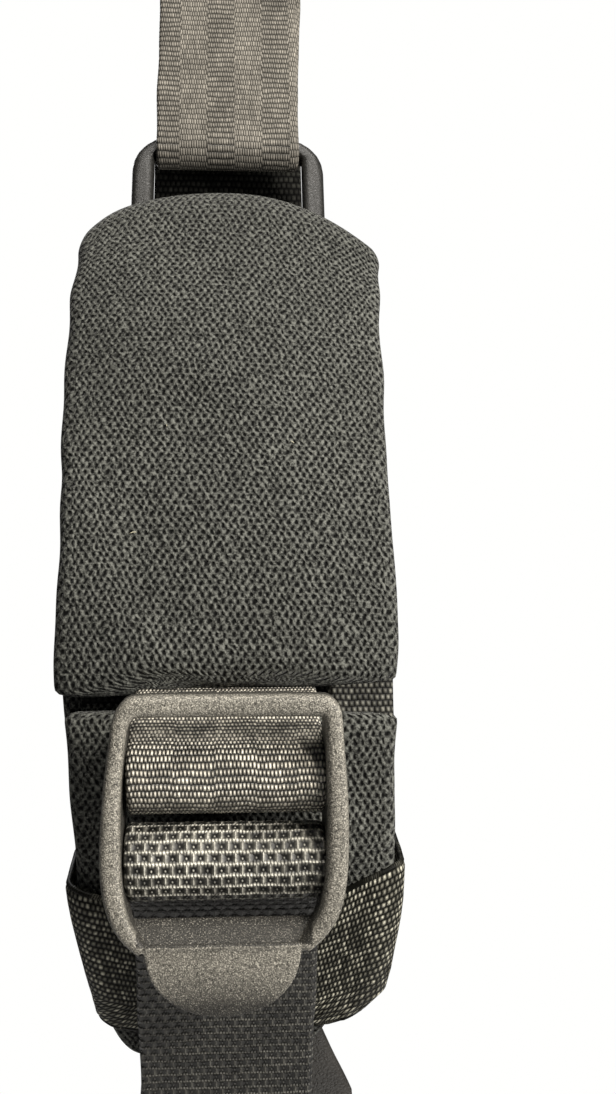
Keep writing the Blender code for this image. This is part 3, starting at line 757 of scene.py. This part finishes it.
def build_upper_webbing(look, thread):
    """The doubled run at the ring and the run over the neck to the yoke."""
    ring_top = offset_point(RING_LOWER_BAR, RING_UP, RING_PITCH)
    front = offset_point(ring_top, RUN_FRONT, BAR_WRAP + 0.2)
    back = offset_point(ring_top, RUN_FRONT, -BAR_WRAP)
    centre = (0, FINE_THICK / 2 - NECK_RADIUS)
    inner = arc(centre, NECK_RADIUS - LAYER_PITCH, 138, 165, 8)
    inner_low = offset_point(offset_point(front, RUN_UP, 9), RUN_FRONT, -LAYER_PITCH)
    doubled = inner + [offset_point(inner_low, RUN_UP, 6), inner_low, offset_point(back, RUN_UP, 3)]
    turn = arc(ring_top, BAR_WRAP + 0.1, -15, -195, 18)
    outer = [offset_point(front, RUN_UP, 3)] + arc(centre, NECK_RADIUS, 165, 90, 24)
    path = doubled + turn + outer

    def sides(point):
        """The short end lies a little to one side behind the run."""
        rise = point[1] - centre[1]
        reach = hypot(point[0], rise)
        if rise < NECK_RADIUS * sin(RUN_LEAN):
            reach = point[0] * RUN_FRONT[0] + rise * RUN_FRONT[1]
        inward = reach < NECK_RADIUS - 0.8
        slip = 0.8 * unit((point[1] + 62) / 27) if inward else 0.0
        return slip - FINE_WIDTH / 2, slip + FINE_WIDTH / 2

    front_piece = strip("upper_webbing_front", path, FINE_THICK, sides, look,
                        spacing=0.55, columns=40, wander=0.35)
    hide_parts("upper_webbing", "upper_webbing_end", "upper_webbing_loop")
    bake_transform(front_piece)
    neck = arc(centre, NECK_RADIUS, 90, 15, 24)
    back_run = smooth_path([
        neck[-1], (62, -88), (70.5, -132), (74, -176), (70, -220), (58, -260),
        (39, -294), (19, -317), (6.5, -329), (1.9, -337), (0.9, -342.5), (0.9, -350),
        (0.9, WEB_END)
    ], 6)
    run = strip("upper_webbing_back", neck + back_run[1:], FINE_THICK, straight(FINE_WIDTH), look,
                spacing=1.2, wander=0.35, end_round=False)
    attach(run, "strap")

    def on_face(x, angle, radius, side):
        """A point on the webbing's outer or inner face, and the normal there."""
        y, z = ray(angle)
        return (x, *offset_point(centre, (y, z), radius)), (0, y * side, z * side)

    half = 9.5
    ends = (160, 150)
    box = []
    inner_face = NECK_RADIUS - LAYER_PITCH - FINE_THICK / 2
    for face in ((NECK_RADIUS + FINE_THICK / 2, 1), (inner_face, -1)):
        lines = [[on_face(x, angle, *face) for angle in np.linspace(*ends, 8)] for x in (-half, half)]
        lines += [[on_face(x, angle, *face) for x in np.linspace(-half, half, 6)] for angle in ends]
        for line in lines:
            box += stitch_row(line, 2.2, 1.7, 0.3, 0.3)
    sewn = joined("upper_box_stitch", box, thread)
    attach(sewn, "strap")


# --- the pad ---

def puffed(obj, pressure=2, cap=0.7):
    """Inflate a closed cloth shell a little. No point moves further than the cap."""
    rest = np.array([v.co[:] for v in obj.data.vertices])
    cloth = obj.modifiers.new("Cloth", "CLOTH")
    adjusted(cloth.settings, quality=5, mass=0.3, tension_stiffness=40, compression_stiffness=40,
             bending_stiffness=4, use_pressure=True, uniform_pressure_force=pressure)
    cloth.settings.effector_weights.gravity = 0
    last = 20
    adjusted(cloth.point_cache, frame_start=1, frame_end=last)
    for step in range(1, last + 1):
        SCENE.frame_set(step)
    graph = bpy.context.evaluated_depsgraph_get()
    swollen = obj.evaluated_get(graph).to_mesh()
    moved = np.array([v.co[:] for v in swollen.vertices])
    obj.evaluated_get(graph).to_mesh_clear()
    obj.modifiers.clear()
    SCENE.frame_set(1)
    travel = np.nan_to_num(moved - rest)
    size = np.linalg.norm(travel, axis=1)
    scale = np.minimum(1, cap * MM / np.maximum(size, 1e-9))
    obj.data.vertices.foreach_set("co", (rest + travel * scale[:, None]).ravel())
    obj.data.update()


def stuffed(obj):
    """A padded piece: puffed, and then made fine enough to look smooth."""
    puffed(obj)
    adjusted(obj.modifiers.new("Subdivision", "SUBSURF"), levels=2, render_levels=2)
    settled(obj)


def build_pad(knit, tape, slit_tape):
    """The folded sheet, the lower panel, the core tape and the tape behind the ring."""
    fold = PAD_MID[0]
    foot = PAD_MID[-1][1]
    mid_heights = [(z, y) for y, z in PAD_MID]
    out = pad_frames()[0][1]
    turn = degrees(atan2(out[1], out[0]))
    front = pad_line(layer_offset, -86, SLIT_TOP)
    over = arc(fold, layer_offset(fold[1]), turn, turn - 180, 12)
    back = pad_line(lambda z: -layer_offset(z), -86, foot)
    path = front[::-1] + over + back
    to_fold = resample(front[::-1] + over[:7], 1)[2][-1]

    def wrap_sides(point):
        """The back layer stands out a little past the front one on the left."""
        left, right = pad_sides(point)
        middle_y = look_up(mid_heights, point[1])[0]
        behind = unit((point[0] - middle_y) / 4) if point[1] < -95.0 else 0.0
        return left - 0.8 * behind, right

    def drop(x, v):
        """The fold's corners sit lower than its middle, and the hem hangs low on the left."""
        near = unit(1 - abs(v - to_fold) / 30)
        across = np.abs(x) / 24.0
        left = 4.2 * across ** 2 + 4.6 * across ** 8
        right = 9.4 * across ** 2.2
        fall = (np.where(x < 0, left, right) + 1.2) * near * near * (3 - 2 * near)
        near_hem = unit(1 - v / 12)
        sag = 2.6 * unit((-x - 12) / 10) - 1.3 * unit((15.5 - np.abs(x)) / 3)
        return -0.41 * fall, -0.91 * fall - sag * near_hem

    wrap = strip("pad_wrap_cover", path, PAD_LAYER - 0.3, wrap_sides, knit,
                 spacing=2.2, columns=22, crown=2, shift=drop, flow=1, wander=0.5, seed=3)
    stuffed(wrap)
    cut_ring_slots(wrap)
    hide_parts("pad_wrap")
    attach(wrap, "strap")
    lower_path = pad_line(layer_offset, SLIT_BOTTOM, foot)

    def rise(x, v):
        """Beside the webbing the panel's top edge closes the slit."""
        reach = np.where(x < 0, 4.4, 4.2)
        up = reach * unit((np.abs(x) - 13.2) / 2.5) * unit(1 - v / HEM_SPAN)
        return 0.12 * up, 0.97 * up

    panel = strip("pad_lower_cover", lower_path, PAD_LAYER - 0.3, pad_sides, knit,
                  spacing=2, columns=22, crown=-1.2, shift=rise, flow=-1, wander=0.5, seed=5)
    stuffed(panel)
    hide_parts("pad_lower_panel")
    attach(panel, "strap")
    core = strip("core_tape_woven", pad_line(-1.5, -104, -158), 1, straight(42), tape)
    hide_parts("core_tape")
    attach(core, "strap")
    edge = strip("core_tape_slit_edge", pad_line(lambda z: layer_offset(z) - 0.3, -154.5, -163), 1.8,
                 lambda point: (14, 23.3), slit_tape, spacing=0.4, columns=20)
    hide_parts("core_tape")
    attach(edge, "strap")
    behind = layer_offset(fold[1]) + PAD_LAYER / 2 + 0.9
    start = offset_point(RING_LOWER_BAR, (cos(RING_LEAN), -sin(RING_LEAN)), behind + 0.3)
    guard_path = pad_line(-behind, -88, -112)[::-1]
    guard_path += [offset_point(start, RING_UP, h) for h in (0, 9, 18, 26.5)]
    guard = strip("ring_guard_tape", smooth_path(guard_path, 2), 1.2, straight(26.4), tape,
                  spacing=0.8)
    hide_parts("ring_guard")
    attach(guard, "strap")


def build_lint(look):
    """A few loose fibres caught on the pad's face, each by its x, z, turn and length."""
    spots = [
        (5.6, -106, 40, 1.5), (6.9, -107.2, 115, 0.9), (-13.5, -135.8, 20, 1),
        (-2.6, -113.4, 70, 0.6), (9.3, -123, 150, 0.7), (-9, -121, 95, 0.5)
    ]
    frames = pad_frames()
    shapes = []
    for x, z, turn, length in spots:
        point, out = min(frames, key=lambda item: abs(item[0][1] - z))
        lift = layer_offset(z) + PAD_LAYER / 2 + 1.0
        centre = np.array((x, *offset_point(point, out, lift)))
        along = np.array((ray(turn)[0], 0, ray(turn)[1])) * length / 2
        bend = np.array((0, *out)) * 0.25
        stops = [centre - along, centre + bend, centre + along - bend]
        for start, end in zip(stops, stops[1:]):
            shapes.append(rod(start, end, 0.055, 6))
    lint = joined("lint_fibres", shapes, look)
    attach(lint, "strap")


def cut_ring_slots(pad):
    """Cut the two holes that the ring's side rails come out of."""
    centre = offset_point(RING_LOWER_BAR, RING_UP, 7)
    for x in (-14.45, 14.45):
        bpy.ops.mesh.primitive_cube_add(size=1)
        cutter = adjusted(bpy.context.object, scale=(5.0 * MM, 7.6 * MM, 14.0 * MM),
                          location=(x * MM, centre[0] * MM, centre[1] * MM),
                          rotation_euler=(-RING_LEAN, 0, 0))
        adjusted(pad.modifiers.new("Slot", "BOOLEAN"), operation="DIFFERENCE", object=cutter)
        settled(pad)
        bpy.data.objects.remove(cutter, do_unlink=True)


def build_anchor(look):
    """The sewn loop inside the pad that carries the ladderlock."""
    def roll_relief(x, v):
        """Fine ribs across the webbing."""
        return 0.06 * np.sin(2 * pi * v / 0.95) * np.ones_like(x)

    front_leg = pad_line(1.75, -98, -148)
    back_leg = pad_line(0.05, -98, -147)
    ring_turn = 180 - degrees(RING_LEAN)
    over = arc(RING_LOWER_BAR, BAR_WRAP + 0.2, ring_turn - 203, ring_turn, 16)
    out = smooth_path([front_leg[-1], (-91.7, -152.6), (-93.6, -155.3), (-97.2, -156),
                       (-102, -158)], 5)
    round_bar = arc((ANCHOR_BAR[0], ANCHOR_BAR[1] - 0.45), BUCKLE_BAR + 1.45, 108, 372, 36)
    back = smooth_path([round_bar[-1], (-101.4, -161.4), (-98.6, -160.1), (-94.9, -159.1),
                        (-91.1, -157.6), (-89.7, -153.6), back_leg[-1]], 5)
    seam = len(back_leg) // 2
    path = back_leg[:seam][::-1] + over + front_leg + out[1:] + round_bar + back[1:]
    path += back_leg[seam + 1:-1][::-1]
    anchor = strip("anchor_webbing_sewn", path, 1.4, straight(25.3, -0.3), look,
                   spacing=0.24, columns=48, wander=0.25, relief=roll_relief, seed=9)
    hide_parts("anchor_webbing")
    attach(anchor, "strap")


def rounded_loop(left, right, depth, radius, steps):
    """Evenly spaced points round a rounded rectangle, with outward normals and arc lengths."""
    corners = [(right - radius, depth - radius, 0), (left + radius, depth - radius, 90),
               (left + radius, radius - depth, 180), (right - radius, radius - depth, 270)]
    outline = []
    for x, d, start in corners:
        outline += arc((x, d), radius, start, start + 90, 6)
    outline = np.array(outline + outline[:1])
    along = lengths_along(outline)
    at = np.linspace(0, along[-1], steps, endpoint=False)
    points = read_along(outline, along, at)
    ahead = loop_slopes(points)
    return points, np.stack([ahead[:, 1], -ahead[:, 0]], axis=1), at


def closed_cord(line, radius, sides=8):
    """A round cord along a closed line of points."""
    ahead = loop_slopes(line)
    first = directions(np.cross(ahead, (0, 0.25, 1)))
    rings = [point + circle(a, b, radius, sides)
             for point, a, b in zip(line, first, np.cross(ahead, first))]
    return np.concatenate(rings), band_faces(len(line), sides, closed=True)


def build_keeper(look):
    """The elastic band round the pad's end, pulled up at its sides, with a thin edge at each side."""
    levels = [-183.2, -183.8, -185.5, -188, -190.5, -193, -195.5, -198, -200.5, -202.2, -202.8]
    rows = len(levels)
    steps = 240
    half_depth = 9.0
    frames = pad_frames()
    heights = np.array([point[1] for point, _ in frames])
    points = []
    for number, level in enumerate(levels):
        edge = number in (0, rows - 1)
        fade = 1.0 - 0.35 * number / (rows - 1)
        left, right = pad_sides((0, level))
        for (x, d), normal, length in zip(*rounded_loop(left, right, half_depth, 3, steps)):
            tilt = (4.4 if x > 0 else 2.4) * fade * unit((abs(x) - 13) / 10)
            z = level + tilt + 0.25 * noise.noise(Vector((x / 7, d / 7, 2)))
            point, out = frames[int(np.argmin(abs(heights - z)))]
            near_left, near_right = pad_sides((0, z))
            stretch = (near_right - near_left) / (right - left)
            x = (near_left + near_right) / 2 + (x - (left + right) / 2) * stretch
            depth = layer_offset(z) + PAD_LAYER / 2 + 0.15 + 0.5 * (1 - (x / 24) ** 2)
            points.append((x, d / half_depth * depth, z, normal, point, out, length, level, edge))
    vertices = []
    weave = []
    for side in (1, 0):
        for x, d, z, normal, point, out, length, level, edge in points:
            grow = 0.4 + side * 0.5 if edge else 0.15 + side * 1.05
            d += grow * normal[1]
            vertices.append((x + grow * normal[0], point[0] + out[0] * d, z + out[1] * d))
            weave.append((length, level, side))
    shift = rows * steps
    faces = band_faces(rows, steps) + band_faces(rows, steps, shift)
    vertices = np.array(vertices)
    for first in (0, shift - steps):
        for i in range(steps):
            a = first + i
            b = first + (i + 1) % steps
            faces.append((a, b, shift + b, shift + a))
    for first in (0, shift - steps):
        rim = slice(first, first + steps)
        tube, wraps = closed_cord((vertices[rim] + vertices[shift:][rim]) / 2, 0.42)
        faces += [tuple(len(vertices) + i for i in polygon) for polygon in wraps]
        weave += [(i * 0.13, 0, 0) for i in range(len(tube))]
        vertices = np.concatenate([vertices, tube])
    band = outward(mesh_object("elastic_band_woven", vertices, faces, weave, look))
    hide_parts("elastic_keeper")
    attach(band, "strap")


def build_guard_flap(look):
    path = smooth_path([
        (-84.1, -198.5), (-81, -205), (-76, -216), (-70.5, -228), (-63.5, -240),
        (-58.5, -248)
    ], 6)
    sides = [(-198, -10, 11), (-203, -11, 12), (-207, -12, 13.2), (-212, -13, 15.4),
             (-222, -13.8, 19.6), (-232, -14, 20.8), (-240, -13, 19.6), (-244, -11, 17),
             (-246.5, -8, 13.5), (-248, -3, 8)]
    flap = strip("guard_flap_leather", path, 1.8, sides_from(sides), look,
                 spacing=0.8, crown=-0.8, wander=0.2)
    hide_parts("guard_flap")
    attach(flap, "strap")


# --- the ladderlock and the coarse webbing ---

def slab(centre, wide, y, z, under):
    """One section of a plate: wide to each side of its centre, with a thickness under its face."""
    corners = ((-wide, 0), (wide, 0), (wide, 1), (-wide, 1))
    return [(centre + x, y + under[0] * k, z + under[1] * k) for x, k in corners]


def build_ladderlock(look):
    """Bowed rails, a flush top bar, two round bars, the sunk plate, its ridge and the thumb tab."""
    # Round the frame, each stop has its x, z, half width and the y of its back
    route = [
        (-10.7, -185.9, 0.85, -111.8), (-12.4, -184.2, 1.05, -110.4), (-13.8, -181.6, 1.25, -108.2),
        (-14.6, -177.6, 1.35, -105.6), (-14.75, -172.5, 1.32, -104.2), (-14.5, -166, 1.15, -104.4),
        (-13.95, -160.5, 1.05, -105.6), (-13.5, -157.6, 1.1, -107.4), (-12.5, -155.95, 1.3, -109.6),
        (-10.5, -155.45, 1.45, -110.6), (0, -155.4, 1.45, -110.6), (10.5, -155.45, 1.45, -110.6),
        (12.6, -155.8, 1.35, -109.6), (13.3, -157.4, 1.15, -107.4), (13.5, -161, 1.2, -105.6),
        (13.75, -166, 1.35, -104.4), (13.85, -172.5, 1.42, -104.2), (13.6, -177.6, 1.42, -105.6),
        (12.8, -181.4, 1.35, -108.2), (11.3, -184, 1.15, -110.4), (9.5, -185.8, 0.9, -111.8)
    ]
    face = [(1, -113), (0.85, -113.75), (0.5, -114.15), (-0.5, -114.15), (-0.85, -113.75), (-1, -113)]
    rails = []
    for (x, z, w, back), dx, dz in line_slopes(smooth_path(route, 5)):
        outline = face + [(-1, back), (1, back)]
        rails.append([(x - dz * w * side, y, z + dx * w * side) for side, y in outline])
    shapes = [loft(rails)]
    for bar in (ANCHOR_BAR, ADJUST_BAR):
        shapes.append(rod((BUCKLE_SHIFT - 14, *bar), (BUCKLE_SHIFT + 13.8, *bar), BUCKLE_BAR))
    fall = (PLATE_RIDGE[0] - PLATE_TOP[0], PLATE_RIDGE[1] - PLATE_TOP[1])
    run = hypot(*fall)
    under = (fall[1] / run * -1.7, fall[0] / run * 1.7)
    shapes.append(loft([slab(BUCKLE_SHIFT, wide, *offset_point(PLATE_TOP, fall, share), under)
                        for share, wide in ((0, 13.2), (0.45, 12.4), (1, 10.2))]))
    drop = (TAB_TIP[0] - PLATE_RIDGE[0], TAB_TIP[1] - PLATE_RIDGE[1])
    reach = hypot(*drop)
    inward = (-drop[1] / reach * 1.9, drop[0] / reach * 1.9)
    tab = []
    last = 14
    for i in range(last + 1):
        share = sin(pi / 2 * i / last)
        wide = max(9.8 * (1 - share ** 2.2) ** 0.5, 0.6)
        y = PLATE_RIDGE[0] + drop[0] * share ** 2 - 0.5
        z = PLATE_RIDGE[1] + drop[1] * share
        tab.append(slab(BUCKLE_SHIFT - 0.2, wide, y, z, inward))
    shapes.append(loft(tab))
    edge = (PLATE_RIDGE[0] - 0.35, PLATE_RIDGE[1] + 0.1)
    shapes.append(rod((BUCKLE_SHIFT - 9.9, *edge), (BUCKLE_SHIFT + 9.3, *edge), 0.42))
    buckle = joined("ladderlock_moulded", shapes, look)
    softened(buckle, 0.22, 4)
    paint_front_light(buckle)
    coat(buckle.data, look)
    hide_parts("ladderlock")
    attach(buckle, "buckle")


def paint_front_light(buckle):
    """Painted light on the front of the frame and the tab, painted shade behind them, darkest in the
    recess.
    """
    places = np.array([v.co for v in buckle.data.vertices]) / MM
    x, y, z = places.T
    recess = (z > PLATE_RIDGE[1] + 0.25) & (z < -160) & (np.abs(x - BUCKLE_SHIFT) < 11)
    values = np.zeros(places.shape)
    # Painted shade in the recess, and painted light on the front fading to painted shade towards the
    # back.
    values[:, 0] = np.where(recess, 0.02, unit((-112.3 - y) / 1.5))
    store_weave(buckle.data, values)


def build_coarse_webbing(look, thread):
    """One strip: up behind the lower bar, over it, back under the plate and down to a folded end."""
    def net_relief(x, v):
        """Raised ribs and bars, in step with the net's material."""
        row = np.floor(v / NET_ROW)
        part = v / NET_ROW - row
        column = x / NET_COLUMN + 0.5 * (row % 2)
        cell = column - np.floor(column)
        weft = 1 - abs(sin(pi * part)) ** 0.7
        warp = 1 - np.abs(np.sin(pi * cell)) ** 0.5
        return 0.15 * (np.maximum(weft, warp) - 0.5)

    def sides(point):
        return (-13.1, 12.5) if point[1] > -182.5 else (-12.6, 12.2)

    def lit_and_shaded(point):
        """Painted light and shade: bright on the roll round the bar as painted highlight, darker away
        from it as painted shade and darkest behind the plate as painted shadow.
        """
        if -190.0 < point[1] < -180.35:
            return 0.04
        reach = hypot(point[0] - ROLL_CENTRE[0], point[1] - ROLL_CENTRE[1])
        return 1.0 - 0.85 * unit((reach - 5) / 4)

    leg = smooth_path([
        (-103.6, -179.2), (-102.6, -183.2), (-99.5, -188.2), (-95.9, -194.4), (-92.6, -200.8),
        (-89.4, -207.7), (-84.5, -217), (-78.5, -227), (-69.5, -241), (-58.5, -257),
        (-46.5, -274), (-34.5, -291), (-22.5, -306), (-12, -319), (-5, -329),
        (-1.6, -337), (-0.85, -342.5), (-0.85, -350), (-0.85, WEB_END)
    ], 6)
    turn = arc(ROLL_CENTRE, ROLL_RADIUS, 0, 255, 32)
    tail = smooth_path([
        turn[-1], (-107.2, -181), (-105.8, -182.2), (-104.2, -184.5), (-101.2, -189.2), (-97.6, -195.4),
        (-94.3, -201.8), (-91.2, -208.6), (-88.3, -217), (-86.2, -228), (-85.2, -240),
        (-85, -255), (-85, -272), (-85, -283)
    ], 6)
    fold = arc((-86, -284), 1, 0, -180, 8)
    path = leg[::-1] + turn + tail[1:] + fold + [(-87, -279), (-87, -273)]
    web = strip("coarse_webbing_run", path, COARSE_THICK - 0.1, sides, look,
                spacing=0.42, columns=84, wander=0.3, relief=net_relief, seed=1, paint_light=lit_and_shaded)
    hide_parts("adjuster_leg", "adjuster_wrap", "adjuster_tail", "tail_stop")
    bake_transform(web)
    rows = []
    for z in (-275, -281):
        for y, normal in ((-87.9, (0, -1, 0)), (-84.15, (0, 1, 0))):
            line = [((x, y, z), normal) for x in np.linspace(-10.5, 10.5, 8)]
            rows += stitch_row(line, 2, 1.5, 0.28, 0.3)
    sewn = joined("tail_stop_stitch", rows, thread)
    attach(sewn, "strap")


# --- the yoke and the hook ---

def build_yoke(leather, thread, metal):
    path = [(YOKE_RADIUS, YOKE_TOP)] + arc((0, EYE_BAR), YOKE_RADIUS, 0, -180, 16)
    path += [(-YOKE_RADIUS, YOKE_TOP)]
    yoke = strip("yoke_leather", path, 1.8, straight(24.6), leather, spacing=0.7,
                 wander=0.15)
    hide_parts("yoke_strap")
    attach(yoke, "strap")
    rows = []
    for side in (1, -1):
        y = side * (YOKE_RADIUS + 0.9)
        normal = (0, side, 0)
        corners = [(-10.6, -358), (-10.6, -343.5), (10.6, -343.5), (10.6, -358), (-10.6, -358)]
        for (x0, z0), (x1, z1) in zip(corners, corners[1:]):
            line = [((x0 + (x1 - x0) * t, y, z0 + (z1 - z0) * t), normal) for t in np.linspace(0, 1, 6)]
            rows += stitch_row(line, 2, 1.6, 0.28, 0.28)
    sewn = joined("yoke_stitch", rows, thread)
    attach(sewn, "strap")
    for node in ("yoke_rivet_left", "yoke_rivet_right", "swivel_pin"):
        dress(node, metal)
    soft_copy("swivel_eye", "swivel_eye_cast", metal, "swivel", 0.3, 4)
    soft_copy("hook_body", "hook_body_cast", metal, "hook", 0.3, 5)
    soft_copy("hook_bolt", "hook_bolt_turned", metal, "bolt", 0.22, 3)
    build_spring(metal)


def dress(node, look):
    """A CAD node that shows keeps its shape and takes a finished material."""
    data = NODES[node].data
    coat(data, look)
    for polygon in data.polygons:
        polygon.material_index = 0


def build_spring(metal):
    """The bolt's spring."""
    low = -404.95
    high = -397.95
    centre_x = 3.9
    radius = 1.5
    per_turn = 16
    steps = 5 * per_turn
    data = bpy.data.curves.new("bolt_spring_wire", "CURVE")
    adjusted(data, dimensions="3D", bevel_depth=0.28 * MM, bevel_resolution=3, use_fill_caps=True)
    spline = data.splines.new("POLY")
    spline.points.add(steps)
    for i, point in enumerate(spline.points):
        angle = 2 * pi * i / per_turn
        place = (centre_x + radius * cos(angle), radius * sin(angle), low + (high - low) * i / steps)
        point.co = (*[value * MM for value in place], 1)
    curve = linked("bolt_spring_curve", data)
    bpy.context.view_layer.update()
    mesh = bpy.data.meshes.new_from_object(curve.evaluated_get(bpy.context.evaluated_depsgraph_get()))
    bpy.data.objects.remove(curve, do_unlink=True)
    coat(mesh, metal)
    spring = linked("bolt_spring_wire", mesh)
    mesh.shade_smooth()
    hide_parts("bolt_spring")
    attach(spring, "hook")
    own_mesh(spring)


build_camera()
build_stage()
# Each weave's light colour is the painted highlight on its thread tops, and its dark colour is the
# painted shade in its gaps.
fine = fine_weave(
    "fine_webbing_weave", 0.42, 1.0, (0.042, 0.040, 0.035), (0.34, 0.315, 0.27), block=4.7,
    gap=(0.75, 0.3), sparkle=0.4, base=0.6, column_power=0.35)
anchor_look = fine_weave(
    "anchor_webbing_weave", 0.50, 0.80, BLACK, (1.0, 0.94, 0.80), depth=0.4, roughness=0.42,
    block=5.3, gap=(1.3, 1.2), specular=0.8, sparkle=1.3, base=0.65, column_power=0.9, step=0.15)
elastic = fine_weave(
    "elastic_weave", 0.58, 0.84, (0.003, 0.003, 0.002), (0.62, 0.60, 0.49), roughness=0.5,
    gap=(1.7, 1.7), specular=0.1, sparkle=1.3, base=0.25, column_power=1.5)
woven_tape = fine_weave(
    "core_tape_weave", 0.9, 1.3, BLACK, (0.03, 0.03, 0.026), roughness=0.8, specular=0.05)
edge_tape = fine_weave(
    "edge_tape_weave", 0.8, 0.85, BLACK, (0.24, 0.235, 0.20), roughness=0.6, specular=0.2,
    column_power=1.2)
coarse = coarse_weave("coarse_webbing_weave", BLACK, (0.95, 0.92, 0.80))
knit_look = knit_material()
plastic = plastic_material(
    "grained_plastic", (0.014, 0.013, 0.011), (0.56, 0.53, 0.455), 0.10, 0.5, lit_front=True)
ring_look = plastic_material(
    "satin_plastic", (0.006, 0.006, 0.0055), (0.030, 0.029, 0.026), 0.04, 0.42)
leather_look = leather_material()
nickel = metal_material()
thread_look = thread_material()

build_upper_webbing(fine, thread_look)
soft_copy("slide_ring", "slide_ring_moulded", ring_look, "ring", 0.3, 4)
build_pad(knit_look, woven_tape, edge_tape)
build_lint(plain_material("lint_fibre", (0.62, 0.58, 0.42), 0.6))
build_anchor(anchor_look)
build_keeper(elastic)
build_guard_flap(leather_look)
build_ladderlock(plastic)
build_coarse_webbing(coarse, thread_look)
build_yoke(leather_look, thread_look, nickel)
